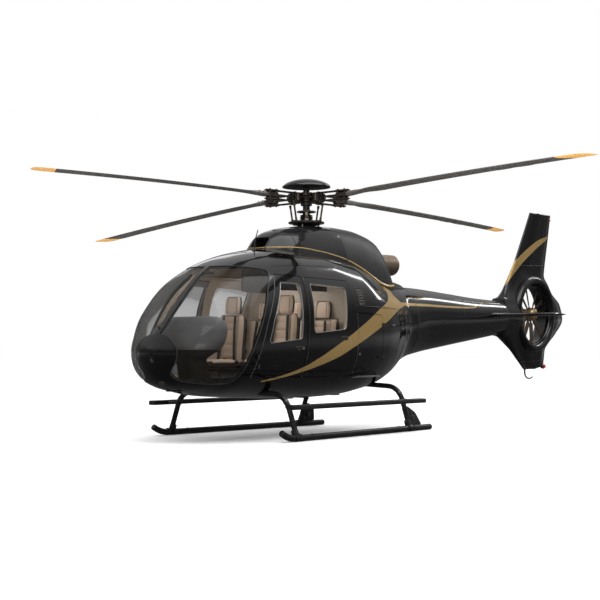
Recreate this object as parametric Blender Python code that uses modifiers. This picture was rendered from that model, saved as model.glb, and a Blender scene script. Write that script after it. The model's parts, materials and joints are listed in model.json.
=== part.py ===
"""Light single-engine helicopter with a shrouded tail fan, parked on its skids.

Metres, +X forward, +Y to port, +Z up. The empty "helicopter" stands on the ground under the middle of
the whole outline, and every size along x below is measured from the rotor mast.
"""
import math
from bisect import bisect_right
from collections import namedtuple

import bmesh
import bpy
from mathutils import Matrix, Vector

# Driving dimensions, in metres
ROTOR_RADIUS = 4.67
NOSE_TURN = 5.5            # degrees from straight ahead to the nearest blade
BLADE_CHORD = 0.29
TAIL_END = -7.50           # rear rim of the fan shroud, from the mast
GAP = 0.0003               # between pieces that rest on each other
RUNNING_GAP = 0.008        # round every door

TURN = math.radians(NOSE_TURN)
ROTOR_REACH = ROTOR_RADIUS * math.cos(TURN) + BLADE_CHORD / 2 * math.sin(TURN)
MAST_X = -(ROTOR_REACH + TAIL_END) / 2

# Cabin and walls
WALL = 0.045
GLASS = 0.008
NOSE = 3.08
CABIN_AFT = 0.135          # joint between the cabin and the rear fuselage
BAY_AFT = -0.70            # rear wall of the baggage bay
BOOM_START = -2.20
BOOM_END = -5.25
RING_POINTS = 28
ROW_SPAN = 0.32            # widest step between two sections of the cabin
ARC_STEP = 28              # degrees between the points of a rounded corner
TINY = 0.00001

# Fuselage sections: x, underside z, widest z, top z, half width, roundness below and above
Section = namedtuple("Section", "x under widest top half low high")
HULL = [Section(*row) for row in (
    (NOSE, 1.060, 1.120, 1.170, 0.070, 2.00, 2.00),
    (3.05, 0.945, 1.120, 1.230, 0.220, 2.00, 2.00),
    (2.99, 0.825, 1.120, 1.350, 0.345, 2.00, 2.00),
    (2.88, 0.725, 1.130, 1.470, 0.550, 2.30, 2.00),
    (2.72, 0.655, 1.140, 1.640, 0.715, 2.15, 2.15),
    (2.50, 0.615, 1.160, 1.870, 0.870, 2.20, 2.60),
    (2.20, 0.565, 1.190, 2.145, 0.950, 2.30, 2.70),
    (1.80, 0.540, 1.230, 2.355, 0.960, 2.40, 2.50),
    (1.40, 0.520, 1.270, 2.460, 0.960, 2.50, 2.40),
    (0.90, 0.505, 1.300, 2.525, 0.965, 2.50, 2.40),
    (0.30, 0.495, 1.320, 2.525, 0.965, 2.50, 2.40),
    (-0.30, 0.510, 1.340, 2.480, 0.935, 2.45, 2.40),
    (-0.80, 0.560, 1.360, 2.380, 0.855, 2.30, 2.25),
    (-1.20, 0.610, 1.400, 2.260, 0.740, 2.10, 2.05),
    (-1.60, 0.705, 1.450, 2.180, 0.590, 1.90, 2.00),
    (-2.00, 0.915, 1.500, 2.125, 0.450, 1.85, 2.00),
    (BOOM_START, 1.010, 1.540, 2.110, 0.430, 1.95, 2.00),
    (-2.60, 1.090, 1.600, 2.100, 0.385, 2.00, 2.00),
    (-3.50, 1.205, 1.620, 2.050, 0.325, 2.00, 2.00),
    (-4.40, 1.310, 1.640, 1.995, 0.265, 2.00, 2.00),
    (BOOM_END, 1.410, 1.680, 1.965, 0.215, 2.00, 2.00),
)]

# Cowl sections: x, top z, half width, roundness
CowlSection = namedtuple("CowlSection", "x top half roundness")
COWL_FRONT = 1.16
COWL_REAR = -1.765
COWL = [CowlSection(*row) for row in (
    (COWL_FRONT, 2.460, 0.20, 2.6),
    (1.08, 2.540, 0.27, 2.8),
    (0.94, 2.690, 0.36, 2.8),
    (0.80, 2.765, 0.43, 2.8),
    (0.475, 2.840, 0.50, 2.7),
    (0.14, 2.880, 0.53, 2.6),
    (-0.28, 2.900, 0.54, 2.6),
    (-0.75, 2.885, 0.52, 2.6),
    (-1.12, 2.825, 0.48, 2.6),
    (-1.29, 2.775, 0.45, 2.6),
    (-1.385, 2.705, 0.43, 2.6),
    (-1.495, 2.590, 0.40, 2.5),
    (-1.595, 2.460, 0.37, 2.4),
    (-1.675, 2.350, 0.34, 2.3),
    (COWL_REAR, 2.225, 0.29, 2.2),
)]
COWL_BASE = 1.95
COWL_SPLIT = -0.28
COWL_WALL = 0.03
COWL_POINTS = 20

# Openings in side view, by their corners: x, z, corner radius, and 1 where the edge is sheared
Corner = namedtuple("Corner", "x z radius lean")
DOOR_LEAN = 0.25           # how far the front door's rear edge runs forward for each metre inwards
BAGGAGE_LEAN = -0.20       # and the baggage door's front edge backward


def corners(*rows):
    return [Corner(*row) for row in rows]


WINDSHIELD = corners(
    (3.150, 1.600, 0.00, 0), (2.985, 1.360, 0.00, 0), (2.990, 0.785, 0.24, 0), (2.660, 0.735, 0.30, 0),
    (2.370, 0.735, 0.10, 0), (2.290, 1.072, 0.30, 0), (1.840, 1.915, 0.60, 0), (1.625, 2.190, 0.04, 0),
    (2.060, 2.238, 0.00, 0), (2.200, 2.450, 0.00, 0))
FRONT_DOOR = corners(
    (1.595, 2.128, 0.04, 0), (1.951, 1.533, 0.90, 0), (2.160, 1.010, 0.20, 0), (2.160, 0.795, 0.055, 0),
    (1.215, 0.795, 0.05, 1), (1.215, 1.000, 0.15, 1), (1.110, 2.118, 0.04, 1))
FRONT_WINDOW = corners(
    (1.552, 2.030, 0.04, 0), (1.845, 1.534, 0.90, 0), (1.965, 1.232, 0.035, 0), (1.290, 1.293, 0.05, 0),
    (1.195, 2.022, 0.04, 0))
REAR_DOOR = corners(
    (1.078, 2.110, 0.03, 0), (1.175, 1.000, 0.15, 0), (1.175, 0.795, 0.05, 0), (0.188, 0.790, 0.045, 0),
    (0.215, 1.150, 0.50, 0), (0.155, 2.092, 0.04, 0))
REAR_WINDOW = corners(
    (1.000, 2.032, 0.04, 0), (1.055, 1.368, 0.06, 0), (0.345, 1.428, 0.08, 0), (0.245, 2.000, 0.05, 0))
BAGGAGE_DOOR = corners(
    (0.070, 1.660, 0.02, 1), (0.075, 0.835, 0.045, 1), (-0.600, 0.850, 0.04, 0), (-0.600, 1.640, 0.04, 0))

# Fin and shroud sections: z, leading x, trailing x, half thickness at front, middle and rear
FinSection = namedtuple("FinSection", "z lead trail front middle rear")
SHROUD_FRONT = BOOM_END - GAP
FIN = [FinSection(*row) for row in (
    (0.80, -6.10, -6.50, 0.012, 0.020, 0.012),
    (0.86, -6.02, -6.80, 0.014, 0.030, 0.012),
    (0.95, -5.90, -6.82, 0.020, 0.045, 0.014),
    (1.14, -5.66, -6.86, 0.045, 0.085, 0.016),
    (1.26, -5.47, -7.00, 0.080, 0.120, 0.020),
    (1.42, SHROUD_FRONT, -7.24, 0.130, 0.150, 0.026),
    (1.69, SHROUD_FRONT, TAIL_END, 0.205, 0.165, 0.034),
    (1.96, SHROUD_FRONT, -7.40, 0.130, 0.155, 0.028),
    (2.15, -5.42, -7.12, 0.070, 0.130, 0.020),
    (2.31, -5.54, -6.98, 0.040, 0.105, 0.016),
    (2.46, -5.65, -6.84, 0.026, 0.070, 0.014),
    (2.57, -5.74, -6.86, 0.022, 0.058, 0.012),
    (3.05, -6.05, -6.98, 0.020, 0.048, 0.012),
    (3.56, -6.36, -7.10, 0.016, 0.036, 0.010),
)]
FIN_SPAN = 0.10
FIN_FOOT = FIN[0]
FIN_STEPS = ((0.0, "front"), (0.12, "front"), (0.45, "middle"), (0.78, "middle"), (1.0, "rear"))

# Tail fan
FAN_X = -6.30
FAN_Z = 1.76
DUCT_RADIUS = 0.50
LIP_RADIUS = 0.555
FAN_RADIUS = 0.490
FAN_HUB = 0.115
FAN_BLADES = (-17, 33, 62, 90, 133, 176, 211, 249, 285, 316)
STATOR_STRUTS = (75, 195, 315)
STATOR_Y = -0.085

# Rotor
HUB_Z = 3.285
BLADE_Z = 3.29
BLADE_DROOP = 0.10
DISC_RISE = (0.12, 0.27)   # how much higher the disc's rim lies towards the nose and towards port
BLADE_ROOT = 0.80
BLADE_COUNT = 4
CAP_RADIUS = 0.34
CAP_Z = 3.425
MAST_RADIUS = 0.050
SWASH_Z = 2.940
LINK_TOP = (0.285, 3.20)   # radius and height
LINK_FOOT = (0.235, 2.95)

# Landing gear
FRONT_TRACK = 1.10         # from the middle to each skid at the front strut
REAR_TRACK = 1.00
TUBE = 0.042
FACETS = 12
SKID_Z = TUBE * math.cos(math.pi / FACETS)   # the tube's lowest facet lies flat on the ground
SKID_REAR = -1.65
SKID_FRONT = 1.62
TOE_RADIUS = 0.55
TOE_TURN = 32
FRONT_STRUT = 1.58
REAR_STRUT = -1.10
STEP_Z = 0.44
STEP_Y = 1.20
STEP_FRONT = 1.85
STEP_REAR = -1.13
STEP_WIDTH = 0.13
STEP_THICK = 0.062
LEG = 0.036

# Cabin fittings
FLOOR_Z = 0.72
FRONT_SEAT_Y = 0.46
SEAT_HALF = 0.24
BENCH_HALF = 0.78
SEAT_RAKE = math.radians(7)
SEAT_BACK_LOW = 0.93
SHELL_TOP = 1.58
SHELL = 0.022              # thickness of a seat's back shell
SEAT_BASE_HALF = 0.17
BENCH_BASE_HALF = 0.655

# Hinge lines: x, y
FRONT_HINGE = (2.181, 0.976)
BAGGAGE_HINGE = (-0.6085, 0.912)
KNUCKLE = 0.008
KNUCKLE_SIDES = 10
ARM_THICK = 0.010
ARM_MARGIN = 0.004         # a hinge arm is this much lower than its knuckle

SIDES = (("left", 1), ("right", -1))


def start():
    """Empties the scene and makes the two collections and the empty that carries everything."""
    for obj in list(bpy.data.objects):
        bpy.data.objects.remove(obj, do_unlink=True)
    made = []
    for name in ("helicopter parts", "cutters"):
        collection = bpy.data.collections.new(name)
        bpy.context.scene.collection.children.link(collection)
        made.append(collection)
    origin = bpy.data.objects.new("helicopter", None)
    origin.location = (MAST_X, 0, 0)
    made[0].objects.link(origin)
    return made[0], made[1], origin


PARTS, CUTTERS, ORIGIN = start()


def pivot(name, x, y, z):
    """An empty on a joint's axis."""
    empty = bpy.data.objects.new(name, None)
    empty.location = (x, y, z)
    empty.parent = ORIGIN
    PARTS.objects.link(empty)
    return empty


ROTOR_PIVOT = pivot("main rotor axis", 0, 0, HUB_Z)
FAN_PIVOT = pivot("tail fan axis", FAN_X, 0, FAN_Z)


def material(name, colour, roughness, metallic=0.0):
    made = bpy.data.materials.new(name)
    made.use_nodes = True
    shader = made.node_tree.nodes["Principled BSDF"]
    shader.inputs["Base Color"].default_value = (*colour, 1)
    shader.inputs["Roughness"].default_value = roughness
    shader.inputs["Metallic"].default_value = metallic
    return made


BLACK_PAINT = material("gloss black paint", (0.012, 0.012, 0.014), 0.12)
SATIN_PAINT = material("satin black paint", (0.025, 0.025, 0.027), 0.38)
DARK_METAL = material("dark anodised metal", (0.05, 0.047, 0.045), 0.35, 0.9)
BRONZE = material("bronzed steel", (0.42, 0.33, 0.26), 0.28, 1.0)
GOLD = material("gold anodised blades", (0.55, 0.40, 0.20), 0.35, 0.8)
ACRYLIC = material("tinted acrylic", (0.06, 0.055, 0.05), 0.05)
LEATHER = material("tan leather", (0.50, 0.38, 0.28), 0.55)
GREY_TRIM = material("grey trim", (0.09, 0.09, 0.095), 0.6)
BLADE_SKIN = material("blade skin", (0.035, 0.036, 0.04), 0.45)
CLEAR_LENS = material("clear lens", (0.6, 0.6, 0.6), 0.1)
GREY_METAL = material("cast engine metal", (0.25, 0.25, 0.26), 0.5, 0.8)


def finish(obj, finish_material, parent=ORIGIN):
    """Hangs a part under the origin or a joint's empty, where it was modelled."""
    PARTS.objects.link(obj)
    obj.parent = parent
    if parent is not ORIGIN:
        obj.location -= parent.location
    obj.data.materials.clear()
    obj.data.materials.append(finish_material)
    return obj


def make_cutter(obj):
    CUTTERS.objects.link(obj)
    obj.parent = ORIGIN
    obj.hide_render = True
    obj.display_type = "WIRE"
    return obj


def from_bmesh(name, bm):
    """A new mesh object from a bmesh, with its faces pointing out."""
    bmesh.ops.remove_doubles(bm, verts=bm.verts, dist=TINY)
    bmesh.ops.recalc_face_normals(bm, faces=bm.faces)
    mesh = bpy.data.meshes.new(name)
    bm.to_mesh(mesh)
    bm.free()
    return bpy.data.objects.new(name, mesh)


def as_mesh(curve):
    """A curve object turned into a mesh object with its caps welded on."""
    CUTTERS.objects.link(curve)
    bpy.context.view_layer.update()
    mesh = bpy.data.meshes.new_from_object(curve.evaluated_get(bpy.context.evaluated_depsgraph_get()))
    bm = bmesh.new()
    bm.from_mesh(mesh)
    made = from_bmesh(curve.name, bm)
    made.matrix_basis = curve.matrix_world
    name = curve.name
    bpy.data.objects.remove(curve, do_unlink=True)
    made.name = name
    return made


def loft(name, rings):
    """A closed solid through sections with equal numbers of points."""
    bm = bmesh.new()
    rows = [[bm.verts.new(point) for point in ring] for ring in rings]
    count = len(rows[0])
    for low, high in zip(rows, rows[1:]):
        for i in range(count):
            j = (i + 1) % count
            bm.faces.new((low[i], low[j], high[j]))
            bm.faces.new((low[i], high[j], high[i]))
    bm.faces.new(rows[0])
    bm.faces.new(rows[-1])
    return from_bmesh(name, bm)


def cut(obj, other, operation="DIFFERENCE"):
    """One exact Boolean, left on the object."""
    modifier = obj.modifiers.new(f"{operation.lower()} {other.name}", "BOOLEAN")
    modifier.operation = operation
    modifier.object = make_cutter(other) if other.parent is None else other
    modifier.solver = "EXACT"
    return obj


def join(obj, other):
    return cut(obj, other, "UNION")


def power(value, exponent):
    return math.copysign(abs(value) ** exponent, value)


def slopes(keys, values):
    """A slope at each row, level at a turning point, so that the curve never passes its table."""
    steps = [b - a for a, b in zip(keys, keys[1:])]
    grades = [(b - a) / step for a, b, step in zip(values, values[1:], steps)]
    inner = []
    for first, second, before, after in zip(grades, grades[1:], steps, steps[1:]):
        if first * second <= 0:
            inner.append(0.0)
        else:
            low, high = 2 * after + before, after + 2 * before
            inner.append((low + high) / (low / first + high / second))
    return [grades[0]] + inner + [grades[-1]]


def smooth(table, key):
    """The table's row at key, on smooth curves through its columns."""
    rows = sorted(table)
    keys = [row[0] for row in rows]
    place = min(max(bisect_right(keys, key) - 1, 0), len(keys) - 2)
    width = keys[place + 1] - keys[place]
    t = (key - keys[place]) / width
    found = [key]
    for values in list(zip(*rows))[1:]:
        grades = slopes(keys, values)
        a, b = values[place], values[place + 1]
        found.append(a * (1 + 2 * t) * (1 - t) ** 2 + b * t * t * (3 - 2 * t)
                     + width * (grades[place] * t * (1 - t) ** 2 - grades[place + 1] * t * t * (1 - t)))
    return type(table[0])(*found)


def refined(table, span, stop=-math.inf):
    """The table with smooth rows added until no step above stop is wider than span."""
    rows = [table[0]]
    for near, far in zip(table, table[1:]):
        width = abs(far[0] - near[0])
        pieces = math.ceil(width / span - 0.01) if max(near[0], far[0]) > stop else 1
        rows += [smooth(table, near[0] + (far[0] - near[0]) * i / pieces) for i in range(1, pieces)]
        rows.append(far)
    return rows


HULL_ROWS = refined(HULL, ROW_SPAN, BOOM_START)
FIN_ROWS = refined(FIN, FIN_SPAN)


def between(table, x):
    """The table's row at x, straight between its neighbours."""
    for high, low in zip(table, table[1:]):
        if low[0] <= x <= high[0]:
            share = (high[0] - x) / (high[0] - low[0])
            return type(high)(*(a + (b - a) * share for a, b in zip(high, low)))
    raise ValueError("x lies outside the table")


def stations(table, front, rear):
    """The table's rows from front to rear, with a row at each end and at the cabin joint."""
    table = sorted(table + [between(table, CABIN_AFT)], reverse=True)
    rows = [row for row in table if rear + 0.01 < row[0] < front - 0.01]
    return [between(table, front)] + rows + [between(table, rear)]


def hull_ring(row, inset=0.0):
    """One section of the fuselage, starting underneath."""
    half = max(row.half - inset, 0.02)
    ring = []
    for i in range(RING_POINTS):
        angle = 2 * math.pi * i / RING_POINTS
        side, up = math.sin(angle), -math.cos(angle)
        if up > 0:
            roundness, height = row.high, row.top - inset - row.widest
        else:
            roundness, height = row.low, row.widest - row.under - inset
        z = row.widest + height * power(up, 2 / roundness)
        ring.append((row.x, half * power(side, 2 / roundness), z))
    return ring


def hull(name, front, rear, inset=0.0, shorten=0.0):
    """A solid length of the fuselage; shorten pulls the nose back in proportion."""
    rings = []
    for row in stations(HULL_ROWS, front, rear):
        x = row.x
        if shorten and x > 1:
            x = 1 + (x - 1) * (1 - shorten / (NOSE - 1))
        rings.append([(x, y, z) for _, y, z in hull_ring(row, inset)])
    return loft(name, rings)


def hull_side(x, z):
    """Half width of the fuselage skin at x and z."""
    row = between(HULL_ROWS, min(max(x, BOOM_END), NOSE))
    upper, lower = (row.high, row.top - row.widest), (row.low, row.widest - row.under)
    roundness, height = upper if z > row.widest else lower
    share = min(abs(z - row.widest) / height, 1.0)
    return row.half * (1 - share ** roundness) ** (1 / roundness)


def rounded(outline):
    """The outline's corners turned into arcs, as (x, z, lean) points."""
    points = []
    for i, corner in enumerate(outline):
        here = Vector((corner.x, corner.z))
        back = (Vector(outline[i - 1][:2]) - here).normalized()
        ahead = (Vector(outline[(i + 1) % len(outline)][:2]) - here).normalized()
        turn = math.pi - back.angle(ahead)
        if corner.radius == 0:
            points.append((corner.x, corner.z, corner.lean))
            continue
        reach = corner.radius * math.tan(turn / 2)
        centre = here + (back + ahead).normalized() * corner.radius / math.cos(turn / 2)
        spoke = here + back * reach - centre
        way = math.copysign(turn, spoke.cross(here + ahead * reach - centre))
        steps = max(1, math.ceil(math.degrees(turn) / ARC_STEP))
        for k in range(steps + 1):
            x, z = centre + Matrix.Rotation(way * k / steps, 2) @ spoke
            points.append((x, z, corner.lean))
    return points


def grown(outline, distance):
    """The outline moved outward by a distance along its points' mean normals."""
    count = len(outline)
    area = sum(outline[i][0] * outline[(i + 1) % count][1] - outline[(i + 1) % count][0] * outline[i][1]
               for i in range(count))
    turn = 1 if area > 0 else -1
    moved = []
    for i, (x, z, lean) in enumerate(outline):
        normal = Vector((0, 0))
        for a, b in ((outline[i - 1], outline[i]), (outline[i], outline[(i + 1) % count])):
            edge = Vector((b[0] - a[0], b[1] - a[1])).normalized()
            normal += Vector((turn * edge.y, -turn * edge.x))
        half_angle = max(normal.length / 2, 0.5)
        shift = normal.normalized() * distance / half_angle
        moved.append((x + shift.x, z + shift.y, lean))
    return moved


def flat(name, outline, thickness):
    """A flat outline as a filled 2D curve of a given thickness, lying in the XY plane."""
    curve = bpy.data.curves.new(name, "CURVE")
    curve.dimensions = "2D"
    curve.fill_mode = "BOTH"
    curve.extrude = thickness / 2
    spline = curve.splines.new("POLY")
    spline.points.add(len(outline) - 1)
    for point, place in zip(spline.points, outline):
        point.co = (place[0], place[1], 0, 1)
    spline.use_cyclic_u = True
    return bpy.data.objects.new(name, curve)


def side_slab(name, outline, low, high):
    """An outline drawn in side view, from y = low to y = high."""
    obj = flat(name, outline, high - low)
    obj.rotation_euler.x = math.pi / 2
    obj.location.y = (low + high) / 2
    return as_mesh(obj)


def side_prism(name, corner_list, side, inner=0.30, outer=1.20, lean=0.0, grow=0.0):
    """A bar through one side of the cabin with the outline's section, as a cutter or a blank."""
    outline = rounded(corner_list)
    shape = grown(outline, grow) if grow else outline
    if not lean:
        return side_slab(name, shape, *sorted((side * inner, side * outer)))
    rings = []
    for y in (inner, outer):
        rings.append([(x + leans * lean * (hull_side(ax, az) - y), side * y, z)
                      for (x, z, leans), (ax, az, _) in zip(shape, outline)])
    return loft(name, rings)


def box(name, low, high):
    bm = bmesh.new()
    bmesh.ops.create_cube(bm, size=1)
    for vertex in bm.verts:
        vertex.co = [a + (b - a) * (c + 0.5) for a, b, c in zip(low, high, vertex.co)]
    return from_bmesh(name, bm)


def bar(name, begin, end, width, height, upward=(0, 0, 1)):
    """A square bar from one point to another; its height is measured along upward."""
    begin, end = Vector(begin), Vector(end)
    along = end - begin
    across = Vector(upward).cross(along).normalized()
    rise = along.normalized().cross(across)
    bm = bmesh.new()
    bmesh.ops.create_cube(bm, size=1)
    for vertex in bm.verts:
        x, y, z = vertex.co
        vertex.co = (begin + end) / 2 + along * x + across * width * y + rise * height * z
    return from_bmesh(name, bm)


def rod(name, low, high, radius, sides=12):
    """A round bar between two points, from Blender's cylinder."""
    low, high = Vector(low), Vector(high)
    bm = bmesh.new()
    bmesh.ops.create_cone(bm, cap_ends=True, segments=sides, radius1=radius, radius2=radius,
                          depth=(high - low).length)
    bmesh.ops.rotate(bm, verts=bm.verts, matrix=(high - low).to_track_quat("Z", "Y").to_matrix())
    bmesh.ops.translate(bm, verts=bm.verts, vec=(low + high) / 2)
    return from_bmesh(name, bm)


AXIS_TURNS = {"X": (0, math.pi / 2, 0), "Y": (-math.pi / 2, 0, 0), "Z": (0, 0, 0)}


def lathe(name, profile, centre=(0, 0, 0), axis="Z", steps=24, ring=False):
    """A turned solid: its profile is (radius, height) from the top down, closed on itself for a ring."""
    points = list(profile) if ring else [(0, profile[0][1]), *profile, (0, profile[-1][1])]
    count = len(points)
    edges = [(i, (i + 1) % count) for i in range(count if ring else count - 1)]
    mesh = bpy.data.meshes.new(name)
    mesh.from_pydata([(radius, 0, height) for radius, height in points], edges, [])
    obj = bpy.data.objects.new(name, mesh)
    obj.location = centre
    obj.rotation_euler = AXIS_TURNS[axis]
    screw = obj.modifiers.new("turn", "SCREW")
    screw.steps = screw.render_steps = steps
    screw.use_merge_vertices = True
    screw.merge_threshold = TINY
    return obj


def tube(name, points, radius, resolution=4, upright=False):
    """A round bar along a run of points, with a flat facet underneath."""
    curve = bpy.data.curves.new(name, "CURVE")
    curve.dimensions = "3D"
    curve.bevel_depth = radius
    curve.bevel_resolution = resolution
    curve.use_fill_caps = True
    curve.twist_mode = "MINIMUM" if upright else "Z_UP"
    spline = curve.splines.new("POLY")
    spline.points.add(len(points) - 1)
    for point, place in zip(spline.points, points):
        point.co = (*place, 1)
        point.tilt = math.pi / (2 * (resolution + 2))
    return as_mesh(bpy.data.objects.new(name, curve))


def softened(obj, width, segments=2):
    bevel = obj.modifiers.new("rounded edges", "BEVEL")
    bevel.width = width
    bevel.segments = segments
    return obj


# Shared cutters
HULL_OUTER = make_cutter(hull("fuselage outside", NOSE, -2.60))
CABIN_INNER = make_cutter(hull("cabin inside", NOSE, CABIN_AFT + WALL, WALL, WALL))
PANEL_INNER = make_cutter(hull("panel inside", NOSE, -0.85, WALL, WALL))
GLASS_INNER = make_cutter(hull("glass inside", NOSE, -0.85, GLASS, GLASS))
HULL_SEAT = make_cutter(hull("fuselage seat", NOSE, -3.50, -GAP))
BOOM_SEAT = make_cutter(hull("boom seat", -2.60, BOOM_END, -GAP))


def knuckle(name, side, low, high, line, reach):
    """A hinge knuckle on a vertical line, with an arm that reaches along the skin."""
    x, y = line
    pin = rod(name, (x, side * y, low), (x, side * y, high), KNUCKLE, KNUCKLE_SIDES)
    level = (low + high) / 2
    skin = hull_side(x + reach, level) - 0.001
    begin, end = (x, side * y, level), (x + reach, side * skin, level)
    return join(pin, bar(f"{name} arm", begin, end, ARM_THICK, high - low - ARM_MARGIN))


def front_knuckle(name, side, low, high, way):
    return knuckle(name, side, low, high, FRONT_HINGE, 0.07 * way)


def baggage_knuckle(name, side, low, high, way):
    return knuckle(name, side, low, high, BAGGAGE_HINGE, -0.045 * way)


FRONT_HINGES = {"make": front_knuckle, "door": ((0.925, 0.955), (1.065, 1.095)),
                "frame": ((0.955 + GAP, 0.980), (1.040, 1.065 - GAP))}
BAGGAGE_HINGES = {"make": baggage_knuckle, "door": ((1.000, 1.030), (1.500, 1.530)),
                  "frame": ((1.030 + GAP, 1.055), (1.475, 1.500 - GAP))}

HANDLE_THICK = 0.022       # how far a handle stands off the skin
FRONT_HANDLE = (1.25, 1.43, 1.195)
REAR_HANDLE = (0.28, 0.47, 1.327)


def handle(name, side, rear, front, z):
    """A pull handle that follows the skin."""
    begin = (rear, side * (hull_side(rear, z) + HANDLE_THICK / 4), z)
    end = (front, side * (hull_side(front, z) + HANDLE_THICK / 4), z)
    return bar(name, begin, end, HANDLE_THICK, 0.026)


def door_panel(name, outline, side, window=None, lean=0.0, hinge=None, pull=None):
    """A door as thick as the wall, with its window cut and its knuckles and handle joined on."""
    panel = side_prism(name, outline, side, lean=lean)
    cut(panel, HULL_OUTER, "INTERSECT")
    if pull:
        join(panel, handle(f"{name} handle", side, *pull))
    cut(panel, PANEL_INNER)
    if window:
        cut(panel, side_prism(f"{name} window cut", window, side, outer=1.3))
    if hinge:
        for low, high in hinge["door"]:
            join(panel, hinge["make"](f"{name} knuckle {low}", side, low, high, -1))
    return panel



def make_cabin():
    """The hollow cabin: nose, belly, roof, pillars and rear wall in one moulding."""
    shell = hull("cabin_shell", NOSE, CABIN_AFT)
    for word, side in SIDES:
        for low, high in FRONT_HINGES["frame"]:
            join(shell, front_knuckle(f"frame knuckle {word} {low}", side, low, high, 1))
    cut(shell, CABIN_INNER)
    for word, side in SIDES:
        cut(shell, side_prism(f"windshield cut {word}", WINDSHIELD, side, inner=0.03))
        cut(shell, side_prism(f"front door cut {word}", FRONT_DOOR, side, lean=DOOR_LEAN, grow=RUNNING_GAP))
        cut(shell, side_prism(f"rear door cut {word}", REAR_DOOR, side, grow=GAP))
    cut(shell, strut_path("front tunnel", FRONT_STRUT, LEG + GAP))
    finish(shell, BLACK_PAINT)


def make_doors():
    for word, side in SIDES:
        front = door_panel(f"front_door_{word}", FRONT_DOOR, side, FRONT_WINDOW, DOOR_LEAN, FRONT_HINGES,
                           FRONT_HANDLE)
        finish(front, BLACK_PAINT)
        finish(door_panel(f"rear_door_{word}", REAR_DOOR, side, REAR_WINDOW, pull=REAR_HANDLE), BLACK_PAINT)
        finish(door_panel(f"baggage_door_{word}", BAGGAGE_DOOR, side, None, BAGGAGE_LEAN, BAGGAGE_HINGES),
               BLACK_PAINT)


def make_glass():
    panes = (("windshield", WINDSHIELD, 0.03 + GAP), ("front_window", FRONT_WINDOW, 0.3),
             ("rear_window", REAR_WINDOW, 0.3))
    for word, side in SIDES:
        for name, outline, inner in panes:
            pane = side_prism(f"{name}_{word}", outline, side, inner=inner, grow=-GAP)
            cut(pane, HULL_OUTER, "INTERSECT")
            cut(pane, GLASS_INNER)
            finish(pane, ACRYLIC)


GRILLE_REAR, GRILLE_FRONT = -0.14, -0.02
GRILLE_LOW, GRILLE_HIGH = 1.78, 1.99
GRILLE_SLATS = 5
SLOT_SHARE = 0.6           # open part of each slat's height
GRILLE_DEPTH = 0.012
RAIL = ((-1.30, 1.725), (0.12, 1.742))
RAIL_HEIGHT = 0.014
RAIL_DEPTH = 0.008


def skin_groove(name, outline, side, depth):
    """A cutter that follows the skin at an even depth, with the outline's shape in side view."""
    groove = side_slab(name, outline, *sorted((side * 0.3, side * 1.2)))
    return cut(groove, hull(f"{name} floor", CABIN_AFT, -1.60, depth))


def make_rear_fuselage():
    """The rear fuselage, with the baggage bay hollow through both side doors."""
    rear = hull("rear_fuselage", CABIN_AFT - GAP, BOOM_START)
    for word, side in SIDES:
        for low, high in BAGGAGE_HINGES["frame"]:
            join(rear, baggage_knuckle(f"bay knuckle {word} {low}", side, low, high, 1))
    cut(rear, hull("baggage bay inside", CABIN_AFT - WALL, BAY_AFT, WALL))
    pitch = (GRILLE_HIGH - GRILLE_LOW) / GRILLE_SLATS
    rail = [*RAIL, *((x, z + RAIL_HEIGHT) for x, z in reversed(RAIL))]
    for word, side in SIDES:
        cut(rear, side_prism(f"baggage door cut {word}", BAGGAGE_DOOR, side, lean=BAGGAGE_LEAN,
                             grow=RUNNING_GAP))
        for slat in range(GRILLE_SLATS):
            low = GRILLE_LOW + pitch * slat
            high = low + pitch * SLOT_SHARE
            slot = ((GRILLE_REAR, low), (GRILLE_FRONT, low), (GRILLE_FRONT, high), (GRILLE_REAR, high))
            cut(rear, skin_groove(f"grille slot {word} {slat}", slot, side, GRILLE_DEPTH))
        cut(rear, skin_groove(f"door rail {word}", rail, side, RAIL_DEPTH))
    cut(rear, strut_path("rear tunnel", REAR_STRUT, LEG + GAP))
    finish(rear, BLACK_PAINT)


def make_boom():
    boom = hull("tail_boom", BOOM_START - GAP, BOOM_END)
    cut(boom, hull("boom inside", BOOM_START + 0.1, BOOM_END + 0.05, 0.03))
    finish(boom, BLACK_PAINT)


def cowl(name, front, rear, inset=0.0, base=COWL_BASE):
    """A solid length of the cowls' arch."""
    rings = []
    for row in stations(COWL, front, rear):
        ring = []
        for i in range(COWL_POINTS + 1):
            angle = math.pi * i / COWL_POINTS
            ring.append((row.x, (row.half - inset) * power(math.cos(angle), 2 / row.roundness),
                         base + (row.top - inset - base) * power(math.sin(angle), 2 / row.roundness)))
        rings.append(ring)
    return loft(name, rings)


PIPE_Z = 2.43
PIPE_RADIUS = 0.155
PIPE_FRONT = -1.251
BOX_TOP = 2.72             # top of the main gearbox


def make_cowls():
    """Transmission cowl and engine cowl: open underneath, resting on the roof."""
    front = cowl("transmission_cowl", COWL_FRONT, COWL_SPLIT)
    rear = cowl("engine_cowl", COWL_SPLIT - GAP, COWL_REAR)
    low = COWL_BASE - 0.1
    for shell, hollow in ((front, cowl("front cowl inside", 0.90, COWL_SPLIT - 0.1, COWL_WALL, low)),
                          (rear, cowl("rear cowl inside", COWL_SPLIT + 0.1, -1.60, COWL_WALL, low))):
        cut(shell, HULL_SEAT)
        cut(shell, hollow)
    cut(front, box("cowl intake cut", (0.70, -0.14, 2.507), (1.30, 0.14, 2.672)))
    cut(front, rod("mast hole", (0, 0, 2.6), (0, 0, 3.0), 0.11, 24))
    cut(rear, rod("exhaust hole", (-2.4, 0, PIPE_Z), (-1.36, 0, PIPE_Z), PIPE_RADIUS + GAP, 24))
    finish(front, SATIN_PAINT)
    finish(rear, SATIN_PAINT)


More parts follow.
